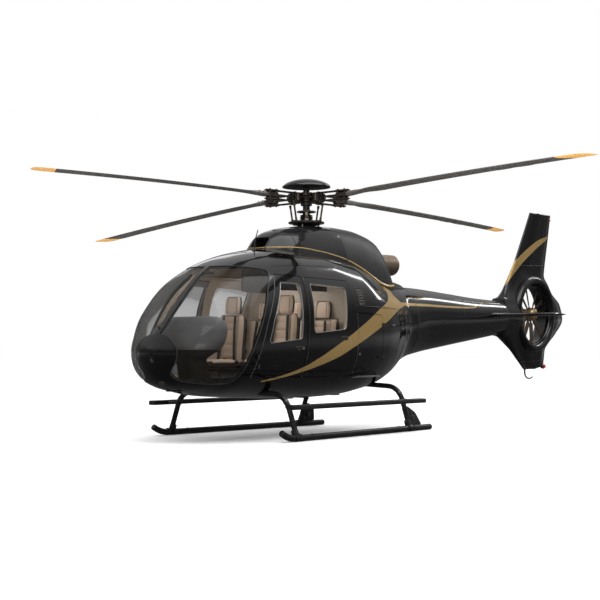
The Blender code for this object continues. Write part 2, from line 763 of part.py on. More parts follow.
def make_engine():
    """The engine and gearbox as plain blocks on the deck, and the exhaust with its bands."""
    for name, low, high in (("engine", (-1.25, -0.26, 2.0), (-0.50, 0.26, 2.62)),
                            ("main_gearbox", (-0.24, -0.22, 2.3), (0.24, 0.22, BOX_TOP))):
        finish(cut(box(name, low, high), HULL_SEAT), GREY_METAL)
    bore = PIPE_RADIUS - 0.015
    profile = [(PIPE_RADIUS - 0.02, PIPE_FRONT), (PIPE_RADIUS - 0.001, -1.44)]
    for band in (-1.915, -1.98, -2.045):
        profile += [(PIPE_RADIUS - 0.001, band + 0.015), (PIPE_RADIUS + 0.005, band + 0.010),
                    (PIPE_RADIUS + 0.005, band - 0.010), (PIPE_RADIUS - 0.001, band - 0.015)]
    profile += [(PIPE_RADIUS - 0.004, -2.08), (bore, -2.08), (bore, -1.66), (0.02, -1.65)]
    finish(lathe("exhaust_pipe", profile, (0, 0, PIPE_Z), "X"), BRONZE)


def make_fin():
    """Fin, fan shroud and lower fin in one moulding, with the duct cut through and the lamps on it."""
    rings = []
    for row in FIN_ROWS:
        edge = [(row.lead + share * (row.trail - row.lead), getattr(row, column))
                for share, column in FIN_STEPS]
        ring = [(x, half, row.z) for x, half in edge]
        ring += [(x, -half, row.z) for x, half in reversed(edge)]
        rings.append(ring)
    fin = loft("fin_and_shroud", rings)
    half_duct = ((LIP_RADIUS + 0.07, 0.24), (LIP_RADIUS, 0.15), (DUCT_RADIUS + 0.012, 0.11),
                 (DUCT_RADIUS, 0.06))
    profile = half_duct + tuple((radius, -y) for radius, y in reversed(half_duct))
    cut(fin, lathe("fan duct", profile, (FAN_X, 0, FAN_Z), "Y", 40))
    foot = FIN_FOOT.z + 0.045
    join(fin, rod("lower tail lamp", (-6.74, 0, foot), (-6.83, 0, foot), 0.022, 10))
    join(fin, rod("upper tail lamp", (-6.90, 0, 3.47), (-7.10, 0, 3.47), 0.018, 10))
    finish(fin, BLACK_PAINT)


def fan_blade(name, degrees):
    """One fan blade: its chord turns flatter towards the tip."""
    angle = math.radians(degrees)
    out = Vector((-math.sin(angle), 0, math.cos(angle)))
    across = Vector((-out.z, 0, out.x))
    rings = []
    for radius, chord, pitch in ((FAN_HUB - 0.02, 0.05, 40), (0.20, 0.062, 34), (0.34, 0.066, 26),
                                 (FAN_RADIUS, 0.066, 18)):
        turn = math.radians(pitch)
        chord_way = across * math.cos(turn) + Vector((0, 1, 0)) * math.sin(turn)
        thick_way = out.cross(chord_way)
        centre = Vector((FAN_X, 0, FAN_Z)) + out * radius
        rings.append([centre + chord_way * chord * a + thick_way * 0.007 * b
                      for a, b in ((-0.5, 0), (-0.15, 1), (0.3, 0.8), (0.5, 0), (0.3, -0.8), (-0.15, -1))])
    return loft(name, rings)


def make_fan():
    """Ten unevenly spaced blades on a hub, and the gearbox pod and struts behind them."""
    centre = (FAN_X, 0, FAN_Z)
    dome = ((0.012, 0.092), (0.05, 0.085), (0.095, 0.06), (FAN_HUB, 0.035), (FAN_HUB, -0.03),
            (0.055, -0.035))
    fan = lathe("tail_fan", dome, centre, "Y", 20)
    for number, degrees in enumerate(FAN_BLADES):
        join(fan, fan_blade(f"fan blade {number}", degrees))
    finish(fan, GOLD, FAN_PIVOT)
    pod = ((0.04, -0.035 - GAP), (0.04, -0.05), (0.10, -0.05), (0.10, -0.15), (0.08, -0.20), (0.03, -0.22))
    stator = lathe("fan_stator", pod, centre, "Y", 20)
    for number, degrees in enumerate(STATOR_STRUTS):
        out = Vector((math.cos(math.radians(degrees)), 0, math.sin(math.radians(degrees))))
        hub = Vector((FAN_X, STATOR_Y, FAN_Z))
        tip = hub + out * (DUCT_RADIUS - 0.002)
        join(stator, bar(f"stator strut {number}", hub + out * 0.06, tip, 0.024, 0.05, (0, 1, 0)))
    finish(stator, DARK_METAL)


GUARD_X = -6.15


def make_tail_details():
    """Stabiliser halves and the tail guard under the lower fin."""
    section = ((0, 0), (0.12, 0.8), (0.4, 1), (1, 0.1), (1, -0.1), (0.4, -1), (0.12, -0.8))
    for word, side in SIDES:
        rings = []
        for y, lead, chord, thick in ((0.19, -4.62, 0.50, 0.030), (1.365, -4.70, 0.42, 0.022)):
            rings.append([(lead - chord * share, side * y, 1.72 + thick * half) for share, half in section])
        finish(cut(loft(f"stabiliser_{word}", rings), BOOM_SEAT), BLACK_PAINT)
    top = FIN_FOOT.z - GAP
    guard = tube("tail_guard", ((GUARD_X, 0, top), (GUARD_X, 0, 0.74), (-6.17, 0, 0.69), (-6.22, 0, 0.655),
                                (-6.30, 0, 0.64), (-6.37, 0, 0.645), (-6.42, 0, 0.665)), 0.014, 2, True)
    finish(guard, DARK_METAL)


def spoke(degrees):
    """Unit vectors out along a rotor arm and across it."""
    angle = math.radians(degrees)
    return Vector((math.cos(angle), math.sin(angle), 0)), Vector((-math.sin(angle), math.cos(angle), 0))


def blade_angle(number):
    return -NOSE_TURN + 360 / BLADE_COUNT * number


def rotor_blade(number):
    """One main blade: a deep root that flattens out, a straight planform and a small droop."""
    out, across = spoke(blade_angle(number))
    section = ((0.5, 0), (0.38, 0.8), (0.15, 1), (-0.5, 0.1), (-0.5, -0.1), (0.15, -0.7), (0.38, -0.6))
    rings = []
    for radius, chord, thick in ((BLADE_ROOT, 0.09, 0.034), (0.98, 0.11, 0.030), (1.30, BLADE_CHORD, 0.018),
                                 (2.3, BLADE_CHORD, 0.016), (3.5, BLADE_CHORD, 0.015),
                                 (4.55, BLADE_CHORD, 0.013), (ROTOR_RADIUS, BLADE_CHORD, 0.010)):
        tilt = out.xy.dot(DISC_RISE) * (radius - BLADE_ROOT) / (ROTOR_RADIUS - BLADE_ROOT)
        centre = out * radius + Vector((0, 0, BLADE_Z + tilt - BLADE_DROOP * (radius / ROTOR_RADIUS) ** 2))
        rings.append([centre - across * chord * a + Vector((0, 0, thick * b)) for a, b in section])
    finish(loft(f"rotor_blade_{number + 1}", rings), BLADE_SKIN, ROTOR_PIVOT)


ARM_LEVELS = (0.052, 0.0, -0.052)
ARM_START = 0.13
GRIP_START = 0.56
STAR_RADIUS = 0.145


def hub_arm(hub, number):
    """Two sleeve plates with the star's own arm between them, a root block, a grip and a pitch horn."""
    out, across = spoke(blade_angle(number))
    centre = Vector((0, 0, HUB_Z))
    for level, height in enumerate(ARM_LEVELS):
        rise = Vector((0, 0, height))
        begin = centre + out * (ARM_START if height else 0.05) + rise
        end = centre + out * (BLADE_ROOT - 0.06) + rise
        join(hub, bar(f"hub arm {number} {level}", begin, end, 0.085, 0.026))
    join(hub, bar(f"root block {number}", centre + out * 0.17, centre + out * 0.235, 0.125, 0.125))
    grip_end = centre + out * (BLADE_ROOT - GAP)
    join(hub, bar(f"blade grip {number}", centre + out * GRIP_START, grip_end, 0.105, 0.14))
    half_bolt = Vector((0, 0, 0.088))
    for way in (-1, 1):
        middle = centre + out * 0.66 + across * 0.03 * way
        join(hub, rod(f"grip bolt {number} {way}", middle - half_bolt, middle + half_bolt, 0.014, 8))
    horn_height = Vector((0, 0, LINK_TOP[1] + 0.02))
    join(hub, bar(f"pitch horn {number}", out * 0.22 + horn_height, out * 0.31 + horn_height, 0.05, 0.03))


def make_hub():
    """Star plate, column up to the cap, and the four arms."""
    star = ((0.045, CAP_Z), (0.045, HUB_Z + 0.07), (STAR_RADIUS, HUB_Z + 0.065),
            (STAR_RADIUS, HUB_Z + 0.03), (0.11, HUB_Z + 0.025), (0.11, HUB_Z - 0.06))
    hub = lathe("rotor_hub", star, steps=20)
    for number in range(BLADE_COUNT):
        hub_arm(hub, number)
        rotor_blade(number)
    finish(hub, DARK_METAL, ROTOR_PIVOT)


def make_swashplate():
    """The turning plate with its four pitch links, and the fixed collar under it."""
    inside = MAST_RADIUS + GAP
    plate = ((0.10, SWASH_Z + 0.035), (0.25, SWASH_Z + 0.010), (0.255, SWASH_Z - 0.018),
             (inside, SWASH_Z - 0.018), (inside, SWASH_Z + 0.035))
    turning = lathe("swashplate_turning", plate, ring=True, steps=20)
    for number in range(BLADE_COUNT):
        out, _ = spoke(blade_angle(number))
        foot = out * LINK_FOOT[0] + Vector((0, 0, LINK_FOOT[1] - 0.03))
        top = out * LINK_TOP[0] + Vector((0, 0, LINK_TOP[1] - GAP))
        join(turning, rod(f"pitch link {number}", foot, top, 0.013, 8))
        lug = Vector((0, 0, SWASH_Z + 0.004))
        join(turning, bar(f"swashplate lug {number}", out * 0.20 + lug, out * 0.275 + lug, 0.05, 0.034))
    finish(turning, DARK_METAL, ROTOR_PIVOT)
    collar = ((0.19, SWASH_Z - 0.026), (0.19, SWASH_Z - 0.036), (0.10, SWASH_Z - 0.038),
              (0.10, BOX_TOP + GAP), (0.07, BOX_TOP + GAP), (0.07, SWASH_Z - 0.026))
    fixed = lathe("swashplate_fixed", collar, ring=True)
    finish(fixed, DARK_METAL)


def make_rotor():
    """Mast with its boot and drive plate, hub, blades, cap and swashplates."""
    profile = ((0.08, HUB_Z - 0.06 - GAP), (0.08, 3.18), (MAST_RADIUS, 3.17), (MAST_RADIUS, 3.105),
               (0.13, 3.10), (0.138, 3.09), (0.13, 3.08), (MAST_RADIUS, 3.075), (MAST_RADIUS, 3.05),
               (0.09, 3.045), (0.07, 3.03), (0.095, 3.01), (0.07, 2.99), (MAST_RADIUS, 2.98),
               (MAST_RADIUS, BOX_TOP + GAP))
    finish(lathe("rotor_mast", profile, steps=20), DARK_METAL, ROTOR_PIVOT)
    make_hub()
    low = CAP_Z + GAP
    dome = ((0.02, CAP_Z + 0.130), (0.12, CAP_Z + 0.120), (0.22, CAP_Z + 0.090), (0.30, CAP_Z + 0.050),
            (CAP_RADIUS, CAP_Z + 0.018), (CAP_RADIUS, CAP_Z + 0.006), (0.20, low))
    cap = lathe("rotor_cap", dome, steps=32)
    finish(cap, BLACK_PAINT, ROTOR_PIVOT)
    make_swashplate()


def track(x):
    """Half the distance between the skids at x: they close in a little towards the rear."""
    share = (x - REAR_STRUT) / (FRONT_STRUT - REAR_STRUT)
    return REAR_TRACK + (FRONT_TRACK - REAR_TRACK) * share


STRUT_BOW = 0.26           # radius of a strut's bend
STRUT_RISE = 0.04          # from the belly's side to its middle
STRUT_BENDS = {FRONT_STRUT: (0.585, 0.905), REAR_STRUT: (0.625, 0.810)}   # belly height, bend's y


def strut_half(x):
    """Half a cross tube's centre line, as (y, z) from the skid to the middle."""
    belly, bend_y = STRUT_BENDS[x]
    line = corners((track(x), TUBE, 0, 0), (bend_y, belly, STRUT_BOW, 0), (0, belly + STRUT_RISE, 0, 0))
    return [point[:2] for point in rounded(line)]


def leg_y(x, z):
    """Where the centre line of a strut's leg crosses a height."""
    for (near_y, near_z), (far_y, far_z) in zip(strut_half(x), strut_half(x)[1:]):
        if near_z <= z <= far_z:
            return near_y + (far_y - near_y) * (z - near_z) / (far_z - near_z)
    raise ValueError("z lies above the strut")


def strut_path(name, x, radius):
    """A cross tube: it leans in from each skid, bends over and runs on under the floor."""
    half = strut_half(x)
    points = [(x, -y, z) for y, z in half[:-1]] + [(x, y, z) for y, z in reversed(half)]
    return tube(name, points, radius, upright=True)


def skid_path(side):
    """A straight run and a toe turned up in an arc."""
    run = [(SKID_REAR, SKID_Z), (SKID_FRONT, SKID_Z)]
    steps = 3
    for i in range(1, steps + 1):
        angle = math.radians(TOE_TURN * i / steps)
        run.append((SKID_FRONT + TOE_RADIUS * math.sin(angle), SKID_Z + TOE_RADIUS * (1 - math.cos(angle))))
    return [(x, side * track(x), z) for x, z in run]


def rear_plate(side):
    """The stiffening plate behind the rear strut's foot, leaning inward with the strut."""
    outline = ((0.05, 0.34), (-0.08, 0.345), (-0.24, 0.25), (-0.31, 0.10), (-0.30, 0.06), (0.03, 0.06))
    belly, bend_y = STRUT_BENDS[REAR_STRUT]
    lean = math.atan2(track(REAR_STRUT) - bend_y, belly)
    plate = flat(f"rear plate {side}", outline, 0.03)
    plate.rotation_euler.x = math.pi / 2 + side * lean
    plate.location = (REAR_STRUT, side * track(REAR_STRUT), 0)
    return as_mesh(plate)


def make_gear():
    """Two skids, two cross tubes bowed over into the belly, and the boarding steps."""
    skid_seats, leg_seats = [], []
    for word, side in SIDES:
        finish(tube(f"skid_{word}", skid_path(side), TUBE), SATIN_PAINT)
        skid_seats.append(make_cutter(tube(f"skid seat {word}", skid_path(side), TUBE + GAP)))
    for name, x in (("front", FRONT_STRUT), ("rear", REAR_STRUT)):
        strut = strut_path(f"cross_tube_{name}", x, LEG)
        leg_seats.append(make_cutter(strut_path(f"leg seat {name}", x, LEG + GAP)))
        belly, bend_y = STRUT_BENDS[x]
        for word, side in SIDES:
            foot = Vector((x, side * track(x), 0))
            way = Vector((x, side * bend_y, belly)) - foot
            join(strut, rod(f"{name} sleeve {word}", foot + way * 0.06, foot + way * 0.25, LEG + 0.012))
            saddle = foot + Vector((0, 0, 0.059))
            reach = Vector((0.075, 0, 0))
            join(strut, bar(f"{name} saddle {word}", saddle - reach, saddle + reach, 0.104, 0.078))
            if x == REAR_STRUT:
                join(strut, rear_plate(side))
        for seat in skid_seats:
            cut(strut, seat)
        cut(strut, box(f"{name} ground", (x - 0.5, -2, -1), (x + 0.5, 2, 0.02)))
        finish(strut, SATIN_PAINT)
    for word, side in SIDES:
        y = side * STEP_Y
        middle = Vector((0, y, STEP_Z))
        begin, end = middle + Vector((STEP_REAR, 0, 0)), middle + Vector((STEP_FRONT, 0, 0))
        step = softened(bar(f"boarding_step_{word}", begin, end, STEP_WIDTH, STEP_THICK), 0.016)
        for x in (FRONT_STRUT, REAR_STRUT):
            leg = (x, side * leg_y(x, STEP_Z), STEP_Z)
            join(step, bar(f"step arm {word} {x}", leg, (x, y, STEP_Z), 0.05, 0.03))
        for seat in leg_seats:
            cut(step, seat)
        finish(step, SATIN_PAINT)


def seat_shape(half, low, high, headrest):
    """A backrest in front view: y and z, with a narrower head part."""
    shoulder = high - 0.27
    neck = half - headrest
    return rounded(corners((-half, low, 0.03, 0), (half, low, 0.03, 0), (half, shoulder, 0.05, 0),
                           (neck, shoulder + 0.05, 0.03, 0), (neck, high, 0.05, 0), (-neck, high, 0.05, 0),
                           (-neck, shoulder + 0.05, 0.03, 0), (-half, shoulder, 0.05, 0)))


def raked(name, outline, x, y, thickness):
    """A flat outline in front view, leaning aft about its foot, with its rear face through x."""
    obj = flat(name, [(a, b - SEAT_BACK_LOW) for a, b, _ in outline], thickness)
    obj.matrix_basis = (Matrix.Translation((x, y, SEAT_BACK_LOW)) @ Matrix.Rotation(-SEAT_RAKE, 4, "Y")
                        @ Matrix.Translation((thickness / 2, 0, 0)) @ Matrix.Rotation(math.pi / 2, 4, "Z")
                        @ Matrix.Rotation(math.pi / 2, 4, "X"))
    return as_mesh(obj)


def seat(word, y, half, base_half, back_x, cushion_x, base_x, heights, headrest):
    """Pedestal with its back shell, cushion and backrest of one seat."""
    cushion_low, cushion_high, top = heights
    base = box(f"{word[0]}_base{word[1]}", (base_x[0], y - base_half, FLOOR_Z + GAP),
               (base_x[1], y + base_half, cushion_low))
    shell_half = half - 0.02
    outline = [(-shell_half, SEAT_BACK_LOW - 0.10, 0), (shell_half, SEAT_BACK_LOW - 0.10, 0),
               (shell_half, SHELL_TOP, 0), (-shell_half, SHELL_TOP, 0)]
    join(base, raked(f"{word[0]} shell{word[1]}", outline, back_x - SHELL - GAP, y, SHELL))
    finish(base, GREY_TRIM)
    cushion = box(f"{word[0]}_cushion{word[1]}", (cushion_x[0], y - half, cushion_low + GAP),
                  (cushion_x[1], y + half, cushion_high))
    finish(softened(cushion, 0.035), LEATHER)
    shape = seat_shape(half, SEAT_BACK_LOW, top, headrest)
    finish(raked(f"{word[0]}_back{word[1]}", shape, back_x, y, 0.11), LEATHER)


def make_interior():
    """Floor, console, seats and one stick, all seen through the glass."""
    floor = box("cabin_floor", (CABIN_AFT + 0.05, -1, FLOOR_Z - 0.03), (2.75, 1, FLOOR_Z))
    cut(floor, hull("floor seat", NOSE, CABIN_AFT + WALL, WALL + GAP, WALL + GAP), "INTERSECT")
    finish(floor, GREY_TRIM)
    rings = []
    levels = ((FLOOR_Z + GAP, 2.50, 2.15, 0.14), (1.05, 2.55, 2.20, 0.16), (1.12, 2.72, 2.17, 0.30),
              (1.30, 2.68, 2.12, 0.34), (1.42, 2.50, 2.14, 0.26))
    for z, front, rear, half in levels:
        rings.append([(rear, -half, z), (front - 0.12, -half, z), (front, -half * 0.4, z),
                      (front, half * 0.4, z), (front - 0.12, half, z), (rear, half, z)])
    finish(loft("instrument_console", rings), GREY_TRIM)
    for word, side in SIDES:
        seat(("seat", f"_front_{word}"), side * FRONT_SEAT_Y, SEAT_HALF, SEAT_BASE_HALF, 1.075,
             (1.215, 1.70), (1.05, 1.62), (0.90, 1.03, 1.90), 0.10)
    seat(("rear_seat", ""), 0, BENCH_HALF, BENCH_BASE_HALF, 0.315, (0.455, 0.88), (0.26, 0.66),
         (0.86, 0.99, 1.84), 0.10)
    stick = tube("control_stick", [(1.84, FRONT_SEAT_Y, FLOOR_Z + GAP), (1.84, FRONT_SEAT_Y, 0.78),
                                   (1.89, FRONT_SEAT_Y, 0.95), (1.84, FRONT_SEAT_Y, 1.16)], 0.014, 2, True)
    finish(stick, GREY_TRIM)


def make_fittings():
    """Nose lamp, boom fairing and whip aerial."""
    lamp = lathe("nose_lamp", ((0.03, 3.078), (0.045, 3.066), (0.045, 2.99)), (0, 0, 1.035), "X", 16)
    finish(cut(lamp, HULL_SEAT), CLEAR_LENS)
    rings = []
    sections = ((-1.775, 0.20, 2.190), (-1.92, 0.21, 2.180), (-2.18, 0.20, 2.155), (-2.25, 0.16, 2.125))
    for x, half, top in sections:
        rings.append([(x, -half, 1.95), (x, half, 1.95), (x, half, top - 0.04), (x, half * 0.7, top),
                      (x, -half * 0.7, top), (x, -half, top - 0.04)])
    fairing = loft("boom_fairing", rings)
    cut(fairing, HULL_SEAT)
    cut(fairing, cowl("cowl seat", COWL_FRONT, COWL_REAR, -GAP, COWL_BASE - 0.1))
    finish(fairing, SATIN_PAINT)
    rod_line = [(1.24, 0.10, 2.30), (1.24, 0.10, 2.53), (1.17, 0.10, 2.76)]
    aerial = tube("whip_aerial", rod_line, 0.008, 2, True)
    finish(cut(aerial, HULL_SEAT), DARK_METAL)


def build():
    make_cabin()
    make_doors()
    make_glass()
    make_rear_fuselage()
    make_boom()
    make_cowls()
    make_engine()
    make_fin()
    make_fan()
    make_tail_details()
    make_rotor()
    make_gear()
    make_interior()
    make_fittings()


build()
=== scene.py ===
"""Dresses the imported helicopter: smooth skins, glass, cabin, rotors and skids, their finishes and a studio.

Metres, +X to the nose, +Y to port, +Z up. Every piece is modelled with x measured from the rotor mast.
"""
import json
import math

import bmesh
import bpy
import numpy as np
from mathutils import Matrix, Vector
from mathutils.geometry import delaunay_2d_cdt


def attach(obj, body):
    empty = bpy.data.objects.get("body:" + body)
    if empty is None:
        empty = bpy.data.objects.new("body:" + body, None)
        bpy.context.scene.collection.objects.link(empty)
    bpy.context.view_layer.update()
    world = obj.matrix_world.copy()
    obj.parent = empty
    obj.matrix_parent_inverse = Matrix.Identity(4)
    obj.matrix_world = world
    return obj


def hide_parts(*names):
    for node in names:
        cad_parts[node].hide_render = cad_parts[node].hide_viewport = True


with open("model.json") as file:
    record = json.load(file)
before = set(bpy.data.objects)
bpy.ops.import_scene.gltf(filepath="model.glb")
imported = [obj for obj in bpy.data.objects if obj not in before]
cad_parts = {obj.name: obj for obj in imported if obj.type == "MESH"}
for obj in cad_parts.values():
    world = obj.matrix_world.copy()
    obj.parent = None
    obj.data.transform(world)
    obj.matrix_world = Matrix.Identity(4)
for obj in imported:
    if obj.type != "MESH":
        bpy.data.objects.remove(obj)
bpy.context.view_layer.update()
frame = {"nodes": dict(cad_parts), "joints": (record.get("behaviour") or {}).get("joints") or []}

bl_info = {
    "name": "Helicopter looks",
    "version": (1, 0, 0),
    "blender": (4, 5, 0),
    "location": "3D View > Sidebar > Helicopter",
    "description": "Smooth skins, cabin, rotors and skids over the packed helicopter",
    "category": "Object",
}

AIRFRAME, MAIN_ROTOR, TAIL_FAN = "airframe", "main_rotor", "tail_fan"
MAST_X = next(joint["pos_m"][0] for joint in frame["joints"] if joint["name"] == "main_rotor_spin")
SIDES = (("left", 1), ("right", -1))
TURN = 2 * math.pi

# Cabin and boom
NOSE, CABIN_AFT, BOOM_START, BOOM_END = 3.08, 0.135, -2.20, -5.25
WALL, GLASS, FLOOR_Z = 0.045, 0.008, 0.72
POST_HALF = 0.030
# Fuselage sections: x, underside z, widest z, top z, half width, roundness below and above
HULL = np.array((
    (NOSE, 1.060, 1.120, 1.170, 0.070, 2.00, 2.00), (3.05, 0.945, 1.120, 1.230, 0.220, 2.00, 2.00),
    (2.99, 0.825, 1.120, 1.350, 0.345, 2.00, 2.00), (2.88, 0.725, 1.130, 1.470, 0.550, 2.30, 2.00),
    (2.72, 0.655, 1.140, 1.640, 0.715, 2.15, 2.15), (2.50, 0.615, 1.160, 1.870, 0.870, 2.20, 2.60),
    (2.20, 0.565, 1.190, 2.145, 0.950, 2.30, 2.70), (1.80, 0.540, 1.230, 2.355, 0.960, 2.40, 2.50),
    (1.40, 0.520, 1.270, 2.460, 0.960, 2.50, 2.40), (0.90, 0.505, 1.300, 2.525, 0.965, 2.50, 2.40),
    (0.30, 0.495, 1.320, 2.525, 0.965, 2.50, 2.40), (-0.30, 0.510, 1.340, 2.480, 0.935, 2.45, 2.40),
    (-0.80, 0.560, 1.360, 2.380, 0.855, 2.30, 2.25), (-1.20, 0.610, 1.400, 2.260, 0.740, 2.10, 2.05),
    (-1.60, 0.705, 1.450, 2.180, 0.590, 1.90, 2.00), (-2.00, 0.915, 1.500, 2.125, 0.450, 1.85, 2.00),
    (BOOM_START, 1.010, 1.540, 2.110, 0.430, 1.95, 2.00), (-2.60, 1.090, 1.600, 2.100, 0.385, 2.00, 2.00),
    (-3.50, 1.205, 1.620, 2.050, 0.325, 2.00, 2.00), (-4.40, 1.310, 1.640, 1.995, 0.265, 2.00, 2.00),
    (BOOM_END, 1.410, 1.680, 1.965, 0.215, 2.00, 2.00)))
# Cowl sections: x, top z, half width, roundness
COWL_FRONT, COWL_SPLIT, COWL_REAR, COWL_BASE = 1.16, -0.28, -1.765, 1.95
COWL = np.array((
    (COWL_FRONT, 2.460, 0.20, 2.6), (1.08, 2.540, 0.27, 2.8), (0.94, 2.690, 0.36, 2.8),
    (0.80, 2.765, 0.43, 2.8), (0.475, 2.840, 0.50, 2.7), (0.14, 2.880, 0.53, 2.6),
    (-0.28, 2.900, 0.54, 2.6), (-0.75, 2.885, 0.52, 2.6), (-1.12, 2.825, 0.48, 2.6),
    (-1.29, 2.775, 0.45, 2.6), (-1.385, 2.705, 0.43, 2.6), (-1.495, 2.590, 0.40, 2.5),
    (-1.595, 2.460, 0.37, 2.4), (-1.675, 2.350, 0.34, 2.3), (COWL_REAR, 2.225, 0.29, 2.2)))

# Openings in side view, by their corners: x, z, corner radius
WINDSHIELD = ((3.150, 1.600, 0), (2.985, 1.360, 0), (2.990, 0.785, .24), (2.660, 0.735, .30),
              (2.370, 0.735, .10), (2.290, 1.072, .30), (1.840, 1.915, .60), (1.625, 2.190, .04),
              (2.060, 2.238, 0), (2.200, 2.450, 0))
FRONT_DOOR = ((1.595, 2.128, .04), (1.951, 1.533, .90), (2.160, 1.010, .20), (2.160, 0.795, .055),
              (1.215, 0.795, .05), (1.215, 1.000, .15), (1.110, 2.118, .04))
FRONT_WINDOW = ((1.552, 2.030, .04), (1.845, 1.534, .90), (1.965, 1.232, .035), (1.290, 1.293, .05),
                (1.195, 2.022, .04))
REAR_DOOR = ((1.078, 2.110, .03), (1.175, 1.000, .15), (1.175, 0.795, .05), (0.188, 0.790, .045),
             (0.215, 1.150, .50), (0.155, 2.092, .04))
REAR_WINDOW = ((1.000, 2.032, .04), (1.055, 1.368, .06), (0.345, 1.428, .08), (0.245, 2.000, .05))
BAGGAGE_DOOR = ((0.070, 1.660, .02), (0.075, 0.835, .045), (-0.600, 0.850, .04), (-0.600, 1.640, .04))

# Fin and shroud sections: z, leading x, trailing x, half thickness at front, middle and rear
SHROUD_FRONT = BOOM_END - 0.0003
FIN = np.array((
    (0.80, -6.10, -6.50, 0.012, 0.020, 0.012), (0.86, -6.02, -6.80, 0.014, 0.030, 0.012),
    (0.95, -5.90, -6.82, 0.020, 0.045, 0.014), (1.14, -5.66, -6.86, 0.045, 0.085, 0.016),
    (1.26, -5.47, -7.00, 0.080, 0.120, 0.020), (1.42, SHROUD_FRONT, -7.24, 0.130, 0.150, 0.026),
    (1.69, SHROUD_FRONT, -7.50, 0.205, 0.165, 0.034), (1.96, SHROUD_FRONT, -7.40, 0.130, 0.155, 0.028),
    (2.15, -5.42, -7.12, 0.070, 0.130, 0.020), (2.31, -5.54, -6.98, 0.040, 0.105, 0.016),
    (2.46, -5.65, -6.84, 0.026, 0.070, 0.014), (2.57, -5.74, -6.86, 0.022, 0.058, 0.012),
    (3.05, -6.05, -6.98, 0.020, 0.048, 0.012), (3.56, -6.36, -7.10, 0.016, 0.036, 0.010)))
FIN_SHARES = (0.0, 0.12, 0.45, 0.78, 1.0)
FAN_X, FAN_Z, DUCT_RADIUS, LIP_RADIUS = -6.30, 1.76, 0.50, 0.555
FAN_BLADES = (-17, 33, 62, 90, 133, 176, 211, 249, 285, 316)

# Rotor
HUB_Z, BLADE_Z, CAP_Z, SWASH_Z = 3.285, 3.29, 3.425, 2.940
ROTOR_RADIUS, BLADE_DROOP, BLADE_ROOT, FIRST_BLADE = 4.67, 0.10, 0.80, -5.5
DISC_RISE = (0.12, 0.27)   # how much higher the disc's rim lies towards the nose and towards port

# Skids
FRONT_STRUT, REAR_STRUT, SKID_FRONT, SKID_REAR = 1.58, -1.10, 1.62, -1.65
FRONT_TRACK, REAR_TRACK, TUBE, LEG = 1.10, 1.00, 0.042, 0.036
TOE_RADIUS, TOE_TURN = 0.55, math.radians(32)
STEP_FRONT, STEP_REAR, STEP_Y, STEP_Z = 1.85, -1.13, 1.20, 0.44

# Cabin
SEAT_Y, SEAT_RAKE, SEAT_BACK_LOW = 0.46, math.radians(7), 0.93
BENCH_PLACES = (-0.50, 0.0, 0.50)
DOOR_POST = 1.145          # the post between the front and the rear door
ON_FLOOR = FLOOR_Z + 0.0005


def slopes(keys, values):
    """A slope at each row, level at a turning point, so that the curve never passes its table."""
    steps = np.diff(keys)
    grades = np.diff(values) / steps
    inner = []
    for first, second, before, after in zip(grades, grades[1:], steps, steps[1:]):
        low, high = 2 * after + before, after + 2 * before
        inner.append(0.0 if first * second <= 0 else (low + high) / (low / first + high / second))
    return np.array([grades[0], *inner, grades[-1]])


class Table:
    """Sections by their first column, read anywhere between on smooth curves."""

    def __init__(self, rows):
        rows = rows[np.argsort(rows[:, 0])]
        self.keys, self.values = rows[:, 0], rows[:, 1:]
        self.grades = np.stack([slopes(self.keys, column) for column in self.values.T], 1)

    def __call__(self, key):
        """One array for each column."""
        key = np.clip(key, self.keys[0], self.keys[-1])
        place = np.clip(np.searchsorted(self.keys, key, "right") - 1, 0, len(self.keys) - 2)
        width = (self.keys[place + 1] - self.keys[place])[..., None]
        t = (key - self.keys[place])[..., None] / width
        low, high = self.values[place], self.values[place + 1]
        found = (low * (1 + 2 * t) * (1 - t) ** 2 + high * t * t * (3 - 2 * t)
                 + width * (self.grades[place] * t * (1 - t) ** 2 - self.grades[place + 1] * t * t * (1 - t)))
        return np.moveaxis(found, -1, 0)


hull_table, cowl_table, fin_table = Table(HULL), Table(COWL), Table(FIN)


def raised(height):
    return Vector((0, 0, height))


def full_turn(count):
    """Evenly spread angles all the way round."""
    return np.linspace(0, TURN, count + 1)[:-1]


def unit(vectors):
    return vectors / np.maximum(np.linalg.norm(vectors, axis=-1, keepdims=True), 1e-12)


def inside(points, loop):
    """Which points of an (n, 2) array lie in a closed loop."""
    found = np.zeros(len(points), bool)
    x, y = points[:, 0], points[:, 1]
    for (ax, ay), (bx, by) in zip(loop, np.roll(loop, -1, 0)):
        if ay != by:
            found ^= ((ay > y) != (by > y)) & (x < (bx - ax) * (y - ay) / (by - ay) + ax)
    return found


def rounded(corner_list, step=0.02):
    """A closed outline through corners (a, b, radius), with points about one step apart."""
    count, points = len(corner_list), []
    for i, (x, z, radius) in enumerate(corner_list):
        here = Vector((x, z))
        before = (Vector(corner_list[i - 1][:2]) - here)
        after = (Vector(corner_list[(i + 1) % count][:2]) - here)
        if radius == 0:
            points.append(here)
            continue
        first, second = before.normalized(), after.normalized()
        half = first.angle(second) / 2
        reach = min(radius / math.tan(half), 0.48 * before.length, 0.48 * after.length)
        radius = reach * math.tan(half)
        centre = here + (first + second).normalized() * (radius / math.sin(half))
        begin, end = (math.atan2(*reversed(here + way * reach - centre)) for way in (first, second))
        turn = (end - begin + math.pi) % TURN - math.pi
        arcs = max(4, math.ceil(abs(turn) * radius / step))
        points += [centre + Vector((math.cos(begin + turn * k / arcs),
                                    math.sin(begin + turn * k / arcs))) * radius
                   for k in range(arcs + 1)]
    dense = []
    for a, b in zip(points, points[1:] + points[:1]):
        pieces = max(1, math.ceil((b - a).length / step))
        dense += [a.lerp(b, k / pieces) for k in range(pieces)]
    return np.array(dense)


